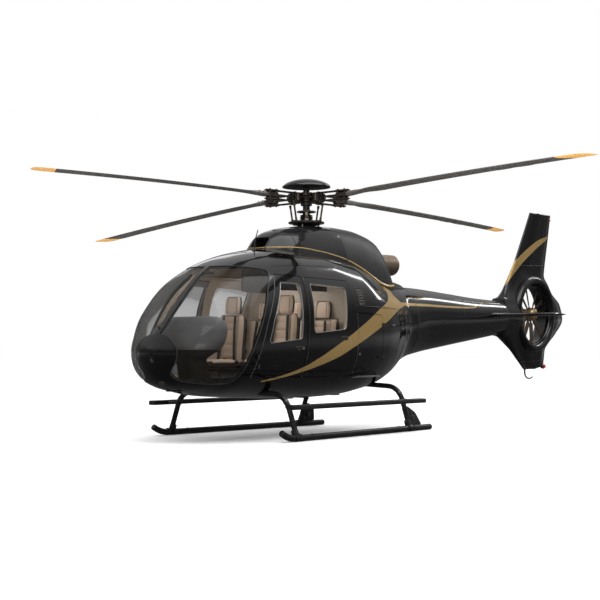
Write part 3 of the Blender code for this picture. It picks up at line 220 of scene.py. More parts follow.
class Skin:
    """One side of a curved body: spread out flat as (u, v), with u along x and v round the section."""

    def __init__(self, front, rear, surface, span, samples=500):
        self.surface, self.span = surface, span
        xs = np.linspace(front, rear, samples)
        middle = self.surface(xs[:, None], np.linspace(0, 1, 9)[None, :] * span)
        lengths = np.linalg.norm(np.diff(middle, axis=0), axis=-1).mean(1)
        self.xs, self.us = xs, np.concatenate(((0,), np.cumsum(lengths)))

    def u_at(self, x):
        return np.interp(-np.asarray(x, float), -self.xs, self.us)

    def point(self, uv):
        return self.surface(np.interp(uv[..., 0], self.us, self.xs), uv[..., 1])

    def frame_at(self, uv, step=2e-4):
        """The surface's two directions and its outward normal."""
        along, around = np.array((step, 0)), np.array((0, step))
        ahead, behind = np.clip(uv + along, (0, -9), (self.us[-1], 9)), np.clip(uv - along, (0, -9), (9e9, 9))
        du = self.point(ahead) - self.point(behind)
        dv = (self.point(uv + around) - self.point(uv - around)) / (2 * step)
        normal = unit(np.cross(unit(dv), unit(du)))
        return du / (2 * step), dv, normal

    def offset(self, loop, distance):
        """A closed loop moved sideways along the skin, outwards for one that runs anticlockwise."""
        du, dv, _ = self.frame_at(loop)
        tangent = np.roll(loop, -1, 0) - np.roll(loop, 1, 0)
        turned = np.stack((tangent[:, 1], -tangent[:, 0]), 1)
        a, b, c = (du * du).sum(1), (du * dv).sum(1), (dv * dv).sum(1)
        moved = np.stack((c * turned[:, 0] - b * turned[:, 1], a * turned[:, 1] - b * turned[:, 0]), 1)
        moved /= (a * c - b * b)[:, None]
        return loop + moved * (distance / np.sqrt(np.maximum((turned * moved).sum(1), 1e-12)))[:, None]


def hull_point(x, angle):
    """A point of the fuselage, by its angle from the crown: positive to port."""
    under, widest, top, half, low, high = hull_table(x)
    upper = np.cos(angle) >= 0
    exponent = 2 / np.where(upper, high, low)
    sine, cosine = np.sin(angle), np.cos(angle)
    y = half * np.sign(sine) * np.abs(sine) ** exponent
    z = widest + np.where(upper, top - widest, -(widest - under)) * np.abs(cosine) ** exponent
    return np.stack(np.broadcast_arrays(x + 0 * y, y, z), -1)


def hull_height(x, angle=0.0):
    """The height of the fuselage at a place, by its angle from the crown."""
    return float(hull_point(np.array(x), np.array(angle))[2])


def hull_angle(x, z):
    """The angle from the crown at which the fuselage passes height z."""
    under, widest, top, _, low, high = hull_table(x)
    upper = z >= widest
    share = np.clip(np.where(upper, (z - widest) / (top - widest), (widest - z) / (widest - under)), 0, 1)
    angle = np.arccos(share ** (np.where(upper, high, low) / 2))
    return np.where(upper, angle, math.pi - angle)


def side_y(x, z):
    """The fuselage's half width at a place in side view."""
    x = np.asarray(x, float)
    return hull_point(x, hull_angle(x, np.asarray(z, float)))[..., 1]


def cowl_point(x, angle):
    """A point of the cowl, by its angle from the crown: positive to port."""
    top, half, roundness = cowl_table(x)
    sine, cosine = np.sin(angle), np.cos(angle)
    y = half * np.sign(sine) * np.abs(sine) ** (2 / roundness)
    z = COWL_BASE + (top - COWL_BASE) * np.sign(cosine) * np.abs(cosine) ** (2 / roundness)
    return np.stack(np.broadcast_arrays(x + 0 * y, y, z), -1)


HULL_SKIN = Skin(NOSE, BOOM_END, hull_point, math.pi)
COWL_SKIN = Skin(COWL_FRONT, COWL_REAR, cowl_point, math.pi / 2)


def on_hull(outline, narrowest=0.0):
    """A side-view outline laid on the fuselage skin, anticlockwise in (u, angle)."""
    x, z = outline[:, 0].copy(), outline[:, 1]
    least = np.zeros(len(x))
    if narrowest:
        above = z > hull_table(x)[2]
        x = np.where(above, np.minimum(x, WINDSHIELD[1][0]), x)
        half, high = hull_table(x)[3], hull_table(x)[5]
        least = np.arcsin((narrowest / half) ** (high / 2))
    loop = np.stack((HULL_SKIN.u_at(x), np.maximum(hull_angle(x, z), least)), 1)
    loop = loop[np.linalg.norm(loop - np.roll(loop, 1, 0), axis=1) > 1e-5]
    area = (loop[:, 0] * np.roll(loop[:, 1], -1) - np.roll(loop[:, 0], -1) * loop[:, 1]).sum()
    return loop if area > 0 else loop[::-1]


class Shape:
    """The points and faces of one piece, each face with the number of its finish."""

    def __init__(self):
        self.points, self.faces, self.looks, self.normals = [], [], [], []

    def add(self, points, faces, look=0, normals=None):
        start = len(self.points)
        self.points += [tuple(map(float, point)) for point in points]
        self.faces += [tuple(i + start for i in face) for face in faces]
        self.looks += [look] * len(faces)
        self.normals += normals or [None] * len(faces)
        return start

    def mirror(self):
        """Adds the same shape on the starboard side, joined where it touches the middle."""
        count = len(self.points)
        other = []
        for i, (x, y, z) in enumerate(self.points[:count]):
            other.append(i if abs(y) < 1e-6 else len(self.points))
            if abs(y) >= 1e-6:
                self.points.append((x, -y, z))
        for face, look, normals in list(zip(self.faces, self.looks, self.normals)):
            self.faces.append(tuple(other[i] for i in reversed(face)))
            self.looks.append(look)
            self.normals.append(normals and [(x, -y, z) for x, y, z in reversed(normals)])
        return self

    def flipped(self):
        """The same shape on the other side."""
        made = Shape()
        made.points = [(x, -y, z) for x, y, z in self.points]
        made.faces = [tuple(reversed(face)) for face in self.faces]
        made.looks = list(self.looks)
        made.normals = [n and [(x, -y, z) for x, y, z in reversed(n)] for n in self.normals]
        return made

    def on_side(self, side):
        return self if side > 0 else self.flipped()

    def moved(self, matrix):
        made = Shape()
        made.points = [tuple(matrix @ Vector(point)) for point in self.points]
        made.faces, made.looks, made.normals = list(self.faces), list(self.looks), [None] * len(self.faces)
        return made

    def take(self, other):
        self.add(other.points, other.faces, 0, list(other.normals))
        self.looks[-len(other.faces):] = other.looks
        return self

    def loft(self, rings, look=0, closed=True, caps=True, ring=False):
        """A skin through sections with equal numbers of points, and its end caps."""
        rings = [[tuple(p) for p in r] for r in rings]
        rows, count = len(rings), len(rings[0])
        faces = []
        for r in range(rows if ring else rows - 1):
            low, high = r * count, (r + 1) % rows * count
            for i in range(count if closed else count - 1):
                j = (i + 1) % count
                faces.append((low + i, low + j, high + j, high + i))
        if caps and not ring:
            faces += [tuple(reversed(range(count))), tuple(range((rows - 1) * count, rows * count))]
        self.add([p for r in rings for p in r], faces, look)

    def tube(self, path, radius, sides=12, look=0, closed=False):
        """A round tube along points, with one radius or one for each point."""
        path = np.array([tuple(p) for p in path], float)
        radii = np.broadcast_to(np.asarray(radius, float), (len(path),))
        if closed:
            ways = unit(np.roll(path, -1, 0) - np.roll(path, 1, 0))
        else:
            ways = unit(np.gradient(path, axis=0))
        across = unit(np.cross(ways[0], (0, 0, 1) if abs(ways[0][2]) < 0.9 else (1, 0, 0)))
        angles = np.arange(sides) * TURN / sides
        rings = []
        for centre, way, r in zip(path, ways, radii):
            across = unit(across - way * (across @ way))
            up = np.cross(way, across)
            rings.append(centre + r * (np.cos(angles)[:, None] * across + np.sin(angles)[:, None] * up))
        self.loft(rings, look, ring=closed)

    def lathe(self, profile, centre=(0, 0, 0), axis="Z", steps=48, look=0, ring=False):
        """A turned solid from (radius, along) points, which run so that the outside is on their left."""
        cx, cy, cz = centre
        rings = []
        for radius, along in profile:
            ring_points = []
            for k in range(steps):
                a, b = radius * math.cos(TURN * k / steps), radius * math.sin(TURN * k / steps)
                ring_points.append({"Z": (cx + a, cy + b, cz + along), "Y": (cx + b, cy + along, cz + a),
                                    "X": (cx + along, cy + a, cz + b)}[axis])
            rings.append(ring_points)
        self.loft(rings, look, ring=ring, caps=not ring)

    def block(self, low, high, soft=0.004, look=0):
        """A box with softened edges."""
        low, high = Vector(low), Vector(high)
        rings = []
        for z, shrink in ((low.z, soft), (low.z + soft, 0), (high.z - soft, 0), (high.z, soft)):
            x0, x1, y0, y1 = low.x + shrink, high.x - shrink, low.y + shrink, high.y - shrink
            c = soft if not shrink else soft * 0.6
            rings.append([(x0 + c, y0, z), (x1 - c, y0, z), (x1, y0 + c, z), (x1, y1 - c, z),
                          (x1 - c, y1, z), (x0 + c, y1, z), (x0, y1 - c, z), (x0, y0 + c, z)])
        self.loft(rings, look)

    def bar(self, begin, end, width, height, look=0, soft=0.003, upward=(0, 0, 1)):
        """A softened bar from point to point."""
        begin, end = Vector(begin), Vector(end)
        way = (end - begin)
        across = Vector(upward).cross(way).normalized()
        frame_matrix = Matrix((way.normalized(), across,
                               way.normalized().cross(across))).transposed().to_4x4()
        frame_matrix.translation = begin
        made = Shape()
        made.block((0, -width / 2, -height / 2), (way.length, width / 2, height / 2), soft)
        made.looks = [look] * len(made.faces)
        self.take(made.moved(frame_matrix))

    def bolt(self, place, way, radius=0.011, height=0.008, look=0):
        """A six-sided bolt head on its washer."""
        turn = raised(1).rotation_difference(Vector(way)).to_matrix().to_4x4()
        turn.translation = Vector(place)
        made = Shape()
        made.lathe(((radius * 1.35, 0), (radius * 1.35, height * .25), (radius * .9, height * .3)), steps=14)
        made.lathe(((radius, height * .25), (radius, height * .85), (radius * .8, height)), steps=6)
        made.looks = [look] * len(made.faces)
        self.take(made.moved(turn))

    def bolt_circle(self, count, reach, height, radius, tall, look):
        """Upright bolts in a circle round the mast."""
        for k in range(count):
            angle = TURN * k / count
            self.bolt((reach * math.cos(angle), reach * math.sin(angle), height), (0, 0, 1), radius, tall,
                      look)

    def outward(self):
        """Turns every closed island's faces outwards."""
        bm = bmesh.new()
        mesh = bpy.data.meshes.new("turning")
        mesh.from_pydata(self.points, [], self.faces)
        bm.from_mesh(mesh)
        bmesh.ops.recalc_face_normals(bm, faces=bm.faces)
        self.faces = [tuple(v.index for v in face.verts) for face in bm.faces]
        bm.free()
        bpy.data.meshes.remove(mesh)
        return self


def build(name, shape, body, finishes, replaces=(), angle=32, turn=True):
    """Makes the piece, shades it smooth between its edges, hangs it under its body and hides the parts it
    replaces.
    """
    if turn and not any(shape.normals):
        shape.outward()
    used = sorted({i for face in shape.faces for i in face})
    place = {old: new for new, old in enumerate(used)}
    mesh = bpy.data.meshes.new(name)
    mesh.from_pydata([shape.points[i] for i in used], [], [[place[i] for i in face] for face in shape.faces])
    for finish in finishes:
        mesh.materials.append(FINISHES[finish])
    mesh.polygons.foreach_set("material_index", np.array(shape.looks, np.int32))
    mesh.shade_smooth()
    mesh.set_sharp_from_angle(angle=math.radians(angle))
    if any(shape.normals):
        corners = []
        for face, normals in zip(shape.faces, shape.normals):
            corners += normals or [(0.0, 0.0, 0.0)] * len(face)
        mesh.normals_split_custom_set(corners)
    obj = bpy.data.objects.new(name, mesh)
    obj.location = (MAST_X, 0, 0)
    bpy.context.scene.collection.objects.link(obj)
    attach(obj, body)
    if replaces:
        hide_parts(*([replaces] if isinstance(replaces, str) else replaces))
    return obj


def panel(shape, skin, outer, holes=(), grooves=(), thickness=WALL, sink=0.0, edge=0.003, step=0.04,
          looks=(0, 1, 2)):
    """A piece of skin one wall thick inside a closed loop, with holes, softened rims and scored lines.

    Its outer face, inner face and rims take the three looks. A rim on the middle plane is left open."""
    points, edges, depth = [], [], []

    def line(loop, deep, closed=True):
        start, count = len(points), len(loop)
        points.extend(map(tuple, loop))
        depth.extend([deep] * count)
        edges.extend((start + i, start + (i + 1) % count) for i in range(count if closed else count - 1))

    line(outer, edge)
    if edge:
        line(skin.offset(outer, -edge), 0.0)
    for hole in holes:
        line(hole, edge or 0.003)
        line(skin.offset(hole, edge or 0.003), 0.0)
    for groove in grooves:
        closed = np.concatenate((groove, groove[-2:0:-1]))
        line(groove, 0.006, False)
        for way in (1, -1):
            line(skin.offset(closed, 0.004 * way)[1:len(groove) - 1], 0.0, False)
    low, high = outer.min(0), outer.max(0)
    u, v = (np.linspace(a, b, max(3, math.ceil((b - a) / step) + 1)) for a, b in zip(low, high))
    grid = np.stack(np.meshgrid(u, v, indexing="ij"), -1).reshape(-1, 2)
    kept = inside(grid, outer)
    for hole in holes:
        kept &= ~inside(grid, hole)
    lines = np.array(points)
    for place in np.flatnonzero(kept):
        near = np.abs(lines - grid[place]).max(1).min()
        kept[place] = near > step * 0.3
    start = len(points)
    points.extend(map(tuple, grid[kept]))
    depth.extend([0.0] * (len(points) - start))
    flat, _, triangles, origins, _, _ = delaunay_2d_cdt(
        [Vector(p) for p in points], edges, [], 0, 1e-7, True)
    flat = np.array([tuple(p) for p in flat])
    triangles = np.array(triangles)
    middles = flat[triangles].mean(1)
    keep = inside(middles, outer)
    for hole in holes:
        keep &= ~inside(middles, hole)
    triangles = triangles[keep]
    deep = np.array([max((depth[i] for i in origin), default=0.0) for origin in origins])
    surface, (_, _, normal) = skin.point(flat), skin.frame_at(flat)
    top = surface - normal * (deep + sink)[:, None]
    bottom = surface - normal * (thickness + sink)
    count = len(flat)
    pairs = {pair for a, b, c in triangles.tolist() for pair in ((a, b), (b, c), (c, a))}
    faces = [(a, c, b) for a, b, c in triangles]
    normals = [None if deep[list(face)].any() else [tuple(normal[i]) for i in face] for face in faces]
    base = shape.add(np.concatenate((top, bottom)), faces, looks[0], normals)
    under = [(a + count, b + count, c + count) for a, b, c in triangles]
    shape.faces += [tuple(i + base for i in face) for face in under]
    shape.looks += [looks[1]] * len(under)
    shape.normals += [[tuple(-normal[i - count]) for i in face] for face in under]
    on_middle = (flat[:, 1] < 1e-5) | (flat[:, 1] > skin.span - 1e-5)
    walls = [(a, b, b + count, a + count) for a, b in sorted(pairs)
             if (b, a) not in pairs and not (on_middle[a] and on_middle[b])]
    shape.faces += [tuple(i + base for i in face) for face in walls]
    shape.looks += [looks[2]] * len(walls)
    shape.normals += [None] * len(walls)


def bead(shape, skin, loop, radius=0.006, sink=0.002, look=0):
    """A round seal along a loop on the skin."""
    _, _, normal = skin.frame_at(loop)
    shape.tube(skin.point(loop) - normal * sink, radius, 8, look, closed=True)


class Amount:
    """A number that changes over a surface. Sums with it add Math nodes to its finish."""

    def __init__(self, finish, socket):
        self.finish, self.socket = finish, socket

    def maths(self, operation, first, second=None, clamp=False):
        made = self.finish.node("Math", {"operation": operation, "use_clamp": clamp},
                                {0: first} if second is None else {0: first, 1: second})
        return Amount(self.finish, made.outputs[0])

    def __add__(self, other):
        return self.maths("ADD", self, other)

    __radd__ = __add__

    def __sub__(self, other):
        return self.maths("SUBTRACT", self, other)

    def __rsub__(self, other):
        return self.maths("SUBTRACT", other, self)

    def __mul__(self, other):
        return self.maths("MULTIPLY", self, other)

    __rmul__ = __mul__

    def __truediv__(self, other):
        return self.maths("DIVIDE", self, other)

    def over(self, edge, blur=0.002):
        """1 where this is above the edge, 0 below, with a soft step between."""
        return self.maths("MULTIPLY", self - edge, 1 / blur, clamp=True)


class Finish:
    """A material while it is mixed: a Principled shader and one way of adding every other node."""

    def __init__(self, name, **values):
        self.material = bpy.data.materials.new(name)
        self.material.use_nodes = True
        self.tree = self.material.node_tree
        self.shader = self.tree.nodes["Principled BSDF"]
        for socket, value in values.items():
            if isinstance(value, tuple) and len(value) == 3:
                value = (*value, 1.0)
            self.shader.inputs[socket.replace("_", " ")].default_value = value
        FINISHES[name] = self.material

    def node(self, kind, settings=None, sockets=None):
        made = self.tree.nodes.new("ShaderNode" + kind)
        for key, value in (settings or {}).items():
            if key == "curve":
                curve = made.mapping.curves[0]
                while len(curve.points) < len(value):
                    curve.points.new(0.5, 0.5)
                for point, (x, y) in zip(curve.points, sorted(value)):
                    point.location = (x, y)
                made.mapping.update()
            else:
                setattr(made, key, value)
        for key, value in (sockets or {}).items():
            self.link(made.inputs[key], value)
        return made

    def link(self, socket, value):
        if isinstance(value, Amount):
            value = value.socket
        if isinstance(value, bpy.types.NodeSocket):
            self.tree.links.new(value, socket)
        else:
            socket.default_value = (*value, 1.0) if isinstance(value, tuple) and len(value) == 3 \
                and socket.type == "RGBA" else value

    def feed(self, **values):
        """Sends surface variation to the shader's own sockets."""
        for key, value in values.items():
            self.link(self.shader.inputs[key.replace("_", " ")], value)
        return self

    def place(self):
        """The spot on the piece, measured from the mast, as x, y, z amounts and as one vector."""
        vector = self.node("TexCoord").outputs["Object"]
        split = self.node("SeparateXYZ", None, {0: vector})
        return [Amount(self, output) for output in split.outputs] + [vector]

    def noise(self, vector, scale, detail=3.0, roughness=0.55):
        made = self.node("TexNoise", None, {"Vector": vector, "Scale": scale, "Detail": detail,
                                            "Roughness": roughness})
        return Amount(self, made.outputs["Fac"])

    def mix(self, share, first, second):
        """Two colours mixed by an amount."""
        made = self.node("Mix", {"data_type": "RGBA"}, {"Factor": share})
        self.link(made.inputs[6], first)
        self.link(made.inputs[7], second)
        return made.outputs[2]

    def bump(self, height, distance=0.001, strength=1.0):
        made = self.node("Bump", None, {"Height": height, "Distance": distance, "Strength": strength})
        self.feed(Normal=made.outputs["Normal"])
        return self

    def edge(self, along, points):
        """The height of a painted edge at each place along x, on a smooth curve through (x, z) points."""
        points = sorted(points)
        first, last = points[0][0], points[-1][0]
        low = min(z for _, z in points)
        span = max(z for _, z in points) - low or 1.0
        shared = [((x - first) / (last - first), (z - low) / span) for x, z in points]
        share = (along - first) / (last - first)
        made = self.node("FloatCurve", {"curve": shared}, {"Value": share})
        return Amount(self, made.outputs[0]) * span + low


FINISHES = {}

# Painted edges in side view: x from the mast, z
SWOOSH_UPPER = ((-1.20, 2.10), (-1.15, 2.02), (-1.104, 1.955), (-0.999, 1.881), (-0.886, 1.829),
                (-0.547, 1.716), (-0.15, 1.538), (0.253, 1.350), (0.498, 1.238), (0.907, 1.054),
                (1.237, 0.922), (1.586, 0.828), (1.867, 0.772))
SWOOSH_LOWER = ((-1.90, 1.803), (-1.661, 1.781), (-1.377, 1.729), (-1.076, 1.65), (-0.63, 1.501),
                (-0.22, 1.344), (0.266, 1.153), (0.476, 1.068), (0.872, 0.950), (1.22, 0.866), (1.579, 0.795),
                (1.867, 0.752))
PATCH_UPPER = ((-1.75, 1.81), (-1.645, 1.848), (-1.47, 1.92), (-1.43, 1.95), (-1.405, 2.06), (-1.38, 2.11),
               (-1.20, 2.12))
BOOM_LINE_UPPER = ((-4.53, 1.933), (-4.26, 1.876), (-3.94, 1.835), (-3.28, 1.836), (-2.65, 1.845),
                   (-1.35, 1.852))
BOOM_LINE_LOWER = ((-4.53, 1.929), (-4.26, 1.862), (-3.94, 1.812), (-3.25, 1.805), (-2.6, 1.808),
                   (-1.35, 1.803))
FIN_STRIPE_UPPER = ((-6.96, 3.175), (-6.54, 3.064), (-6.09, 2.837), (-5.70, 2.611), (-5.55, 2.50),
                    (-5.42, 2.38))
FIN_STRIPE_LOWER = ((-6.96, 3.135), (-6.54, 2.945), (-6.18, 2.745), (-5.93, 2.575), (-5.71, 2.425),
                    (-5.57, 2.325), (-5.50, 2.250), (-5.42, 2.170))
GOLD = (0.40, 0.265, 0.10)


def between(amount, low, high, blur=0.003):
    return amount.over(low, blur) * (1 - amount.over(high, blur))


def mix_gloss_paint(black):
    """Gloss black with the gold stripes, whose edges are curves in side view."""
    f = Finish("gloss_paint", Coat_Roughness=0.02, Coat_IOR=1.4, Specular_IOR_Level=0.4)
    x, y, z, spot = f.place()
    swoosh = between(z, f.edge(x, SWOOSH_LOWER), f.edge(x, SWOOSH_UPPER)) * between(x, -1.20, 1.90)
    patch = between(z, f.edge(x, SWOOSH_LOWER), f.edge(x, PATCH_UPPER)) * between(x, -1.75, -1.199)
    boom = between(z, f.edge(x, BOOM_LINE_LOWER), f.edge(x, BOOM_LINE_UPPER)) * between(x, -4.53, -1.34)
    fin = between(z, f.edge(x, FIN_STRIPE_LOWER), f.edge(x, FIN_STRIPE_UPPER)) * between(x, -6.96, -5.42)
    gold = swoosh + patch + boom + fin
    gold = gold.maths("MINIMUM", gold, 1.0)
    orange_peel = f.noise(spot, 55.0, 2.0)
    dust = f.noise(spot, 1.6, 5.0)
    flake = f.noise(spot, 900.0, 1.0)
    f.feed(Base_Color=f.mix(gold, f.mix(dust * 0.25, black, tuple(2.2 * c for c in black)),
                            f.mix(flake, tuple(0.8 * c for c in GOLD), tuple(1.2 * c for c in GOLD))),
           Metallic=gold * 0.6, Roughness=0.07 + gold * 0.25 + dust * 0.05, Coat_Weight=0.5 - 0.25 * gold)
    f.bump(orange_peel, 0.00003, 0.15)


def mix_blacks():
    """The blacks without stripes."""
    for name, colour, rough in (("satin_paint", (0.015, 0.015, 0.016), 0.38),
                                ("skid_paint", (0.007, 0.007, 0.0075), 0.26),
                                ("cowl_paint", (0.010, 0.010, 0.011), 0.06)):
        f = Finish(name, Coat_Roughness=0.25, Specular_IOR_Level=0.35)
        *_, spot = f.place()
        dust, grain = f.noise(spot, 3.0, 5.0), f.noise(spot, 260.0, 2.0)
        f.feed(Base_Color=f.mix(dust, tuple(0.75 * c for c in colour), tuple(1.5 * c for c in colour)),
               Roughness=rough + 0.12 * dust, Coat_Weight=0.15 * dust)
        f.bump(grain, 0.00012, 0.35)


def mix_gold_trim():
    """Flaked gold for the raised lines."""
    f = Finish("gold_trim", Metallic=0.35, Coat_Weight=0.3)
    *_, spot = f.place()
    f.feed(Base_Color=f.mix(f.noise(spot, 700.0, 1.0), (0.42, 0.28, 0.10), (0.54, 0.37, 0.14)),
           Roughness=0.30 + 0.1 * f.noise(spot, 9.0))


def mix_acrylics():
    """Acrylic, tinted or clear, more solid at a glancing angle."""
    for name, clear, glancing in (("tinted_acrylic", 0.44, 0.45), ("window_acrylic", 0.14, 0.45),
                                  ("acrylic_back", 0.03, 0.0)):
        f = Finish(name, Roughness=0.02, IOR=1.49)
        *_, spot = f.place()
        facing = Amount(f, f.node("LayerWeight", None, {"Blend": 0.22}).outputs["Fresnel"])
        f.feed(Base_Color=f.mix(f.noise(spot, 1.1), (0.006, 0.005, 0.004), (0.012, 0.010, 0.008)),
               Alpha=clear + facing * glancing + f.noise(spot, 2.2) * 0.02)


def mix_rubber():
    """Rubber seals."""
    f = Finish("rubber_seal", Roughness=0.5)
    *_, spot = f.place()
    f.feed(Base_Color=f.mix(f.noise(spot, 30.0), (0.010, 0.010, 0.010), (0.026, 0.026, 0.027)))
    f.bump(f.noise(spot, 400.0), 0.0003, 0.5)


def mix_leathers():
    """Grained leather, tan and brown."""
    for name, light, dark in (("tan_leather", (0.62, 0.47, 0.35), (0.50, 0.37, 0.27)),
                              ("brown_leather", (0.050, 0.034, 0.026), (0.026, 0.018, 0.014))):
        f = Finish(name, Sheen_Weight=0.15, Specular_IOR_Level=0.4)
        *_, spot = f.place()
        pebble = Amount(f, f.node("TexVoronoi", {"feature": "DISTANCE_TO_EDGE"},
                                  {"Vector": spot, "Scale": 260.0}).outputs["Distance"])
        crease, wear = f.noise(spot, 22.0, 6.0, 0.7), f.noise(spot, 4.0, 4.0)
        f.feed(Base_Color=f.mix(wear * 0.7 + crease * 0.3, dark, light), Roughness=0.42 + 0.25 * wear)
        f.bump(pebble * 0.6 + crease * 0.8, 0.0012, 0.5)


def mix_trims():
    """Grained cabin plastics."""
    for name, light, dark, rough in (("grey_trim", (0.23, 0.23, 0.235), (0.16, 0.16, 0.165), 0.6),
                                     ("beige_trim", (0.52, 0.43, 0.34), (0.42, 0.345, 0.27), 0.65),
                                     ("dark_trim", (0.022, 0.021, 0.021), (0.012, 0.012, 0.012), 0.5)):
        f = Finish(name)
        *_, spot = f.place()
        leathered, cloud = f.noise(spot, 240.0, 3.0), f.noise(spot, 5.0, 3.0)
        f.feed(Base_Color=f.mix(cloud, dark, light), Roughness=rough + 0.12 * leathered)
        f.bump(leathered, 0.0006, 0.5)


def mix_carpet():
    """Carpet with its pile."""
    f = Finish("carpet", Roughness=0.95, Sheen_Weight=0.4)
    *_, spot = f.place()
    pile, cloud = f.noise(spot, 420.0, 4.0), f.noise(spot, 6.0)
    f.feed(Base_Color=f.mix(pile * 0.8 + cloud * 0.2, (0.012, 0.010, 0.009), (0.045, 0.038, 0.032)))
    f.bump(pile, 0.003, 0.8)


def mix_metals():
    """Metals by their light, dark and worn shades."""
    # The bright metal is real on bolts, locks and fittings, and it also serves as a painted highlight: the
    # thin bead just inside the door windows' seals.
    for name, light, dark, rough in (("dark_metal", (0.15, 0.130, 0.115), (0.055, 0.049, 0.045), 0.26),
                                     ("bronze_metal", (0.24, 0.185, 0.14), (0.12, 0.092, 0.070), 0.26),
                                     ("bright_metal_and_seal_highlight", (0.62, 0.60, 0.57), (0.42, 0.41, 0.39), 0.20),
                                     ("cast_metal", (0.30, 0.30, 0.31), (0.17, 0.17, 0.175), 0.45),
                                     ("gold_metal", (0.50, 0.37, 0.19), (0.27, 0.19, 0.095), 0.28)):
        f = Finish(name, Metallic=0.9)
        *_, spot = f.place()
        worn, fine = f.noise(spot, 12.0, 5.0), f.noise(spot, 320.0, 2.0)
        f.feed(Base_Color=f.mix(worn, dark, light), Roughness=rough + 0.2 * worn)
        f.bump(fine, 0.0002, 0.4)


def mix_exhaust():
    """Pipe metal, brushed and bronzed by heat."""
    f = Finish("exhaust_metal", Metallic=1.0)
    x, *_, spot = f.place()
    stretched = f.node("Mapping", {"vector_type": "POINT"},
                       {"Vector": spot, "Scale": (260.0, 3.0, 3.0)}).outputs[0]
    brushed, heat = f.noise(stretched, 1.0, 2.0), f.noise(spot, 5.0, 4.0)
    hot = (x.over(-2.15, 0.7) * -1 + 1) * 0.7 + heat * 0.3
    f.feed(Base_Color=f.mix(hot, (0.70, 0.58, 0.48), (0.44, 0.31, 0.21)),
           Roughness=0.24 + 0.16 * brushed + 0.1 * heat)
    f.bump(brushed, 0.0003, 0.4)


def mix_soot():
    """Sooty black."""
    f = Finish("soot", Roughness=0.85)
    *_, spot = f.place()
    f.feed(Base_Color=f.mix(f.noise(spot, 14.0, 5.0), (0.006, 0.006, 0.006), (0.028, 0.025, 0.022)))


def mix_blade_paint():
    """Dark blade skin, worn towards the tips."""
    f = Finish("blade_paint", Specular_IOR_Level=0.45)
    x, y, _, spot = f.place()
    reach = (x * x + y * y).maths("SQRT", x * x + y * y)
    dust, streak = f.noise(spot, 2.0, 5.0), f.noise(spot, 30.0, 2.0)
    worn = reach.over(4.3, 0.3) * f.noise(spot, 35.0, 5.0)
    grey = f.mix(dust, (0.068, 0.062, 0.058), (0.105, 0.097, 0.090))
    f.feed(Base_Color=f.mix(worn * 0.3, grey, (0.14, 0.13, 0.12)), Roughness=0.36 + 0.14 * dust)
    f.bump(streak, 0.0001, 0.04)


def mix_tip_paint():
    """Yellow blade tips."""
    f = Finish("tip_paint", Roughness=0.4)
    *_, spot = f.place()
    f.feed(Base_Color=f.mix(f.noise(spot, 20.0, 5.0), (0.66, 0.34, 0.085), (0.86, 0.48, 0.14)))


def mix_red_lens():
    """Red lamp lens."""
    f = Finish("red_lens", Roughness=0.08, Coat_Weight=1.0)
    *_, spot = f.place()
    f.feed(Base_Color=f.mix(f.noise(spot, 60.0), (0.35, 0.012, 0.010), (0.55, 0.03, 0.02)))


def mix_clear_lens():
    """Clear lamp lens."""
    f = Finish("clear_lens", Roughness=0.03, Coat_Weight=1.0)
    *_, spot = f.place()
    ribs = f.noise(spot, 150.0, 0.0)
    f.feed(Base_Color=f.mix(ribs, (0.014, 0.014, 0.016), (0.045, 0.045, 0.048)), Alpha=0.75 + 0.1 * ribs)


def mix_screen_glass():
    """Dark glass of the screens."""
    f = Finish("screen_glass", Roughness=0.06, Coat_Weight=0.6)
    *_, spot = f.place()
    f.feed(Base_Color=f.mix(f.noise(spot, 40.0), (0.006, 0.007, 0.009), (0.016, 0.018, 0.022)))


def mix_webbing():
    """Woven webbing."""
    f = Finish("webbing", Roughness=0.8)
    *_, spot = f.place()
    weave = Amount(f, f.node("TexWave", {"bands_direction": "DIAGONAL"},
                             {"Vector": spot, "Scale": 160.0, "Distortion": 0.5}).outputs["Fac"])
    f.feed(Base_Color=f.mix(weave, (0.012, 0.012, 0.013), (0.045, 0.043, 0.042)))
    f.bump(weave, 0.0008, 0.6)


def mix_paints(black):
    """Every finish of the helicopter, by name."""
    mix_gloss_paint(black)
    for mix in (mix_blacks, mix_gold_trim, mix_acrylics, mix_rubber, mix_leathers, mix_trims, mix_carpet,
                mix_metals, mix_exhaust, mix_soot, mix_blade_paint, mix_tip_paint, mix_red_lens,
                mix_clear_lens, mix_screen_glass, mix_webbing):
        mix()


def stretch(points, step=0.04):
    """A side-view line filled in with points about one step apart."""
    made = []
    for a, b in zip(points, points[1:]):
        a, b = np.array(a, float), np.array(b, float)
        pieces = max(1, math.ceil(np.linalg.norm(b - a) / step))
        made += [a + (b - a) * k / pieces for k in range(pieces)]
    return np.array(made + [np.array(points[-1], float)])


def hull_line(points):
    """A side-view line laid on the fuselage skin."""
    line = stretch(points)
    return np.stack((HULL_SKIN.u_at(line[:, 0]), hull_angle(line[:, 0], line[:, 1])), 1)


def skin_span(skin, front, rear, low=0.0, high=None, step=0.04):
    """The loop round the part of a skin between two places along x."""
    high = skin.span if high is None else high
    u0, u1 = skin.u_at(front), skin.u_at(rear)
    return stretch(((u0, low), (u1, low), (u1, high), (u0, high), (u0, low)), step)[:-1]


def bulkhead(shape, x, thickness, inset, look):
    """A wall across the fuselage, following its skin."""
    angles = np.linspace(-math.pi, math.pi, 65)[:-1]
    rings = []
    for place in (x, x - thickness):
        ring = hull_point(np.full(64, place), angles)
        middle = np.array((place, 0, hull_table(np.array(place))[1]))
        rings.append(middle + (ring - middle) * (1 - inset))
    shape.loft(rings, look)


def outlines():
    """The openings, once laid on the skin."""
    return {name: on_hull(rounded(corner_list), narrowest) for name, corner_list, narrowest in (
        ("windshield", WINDSHIELD, POST_HALF), ("front_door", FRONT_DOOR, 0),
        ("front_window", FRONT_WINDOW, 0), ("rear_door", REAR_DOOR, 0), ("rear_window", REAR_WINDOW, 0),
        ("baggage_door", BAGGAGE_DOOR, 0))}


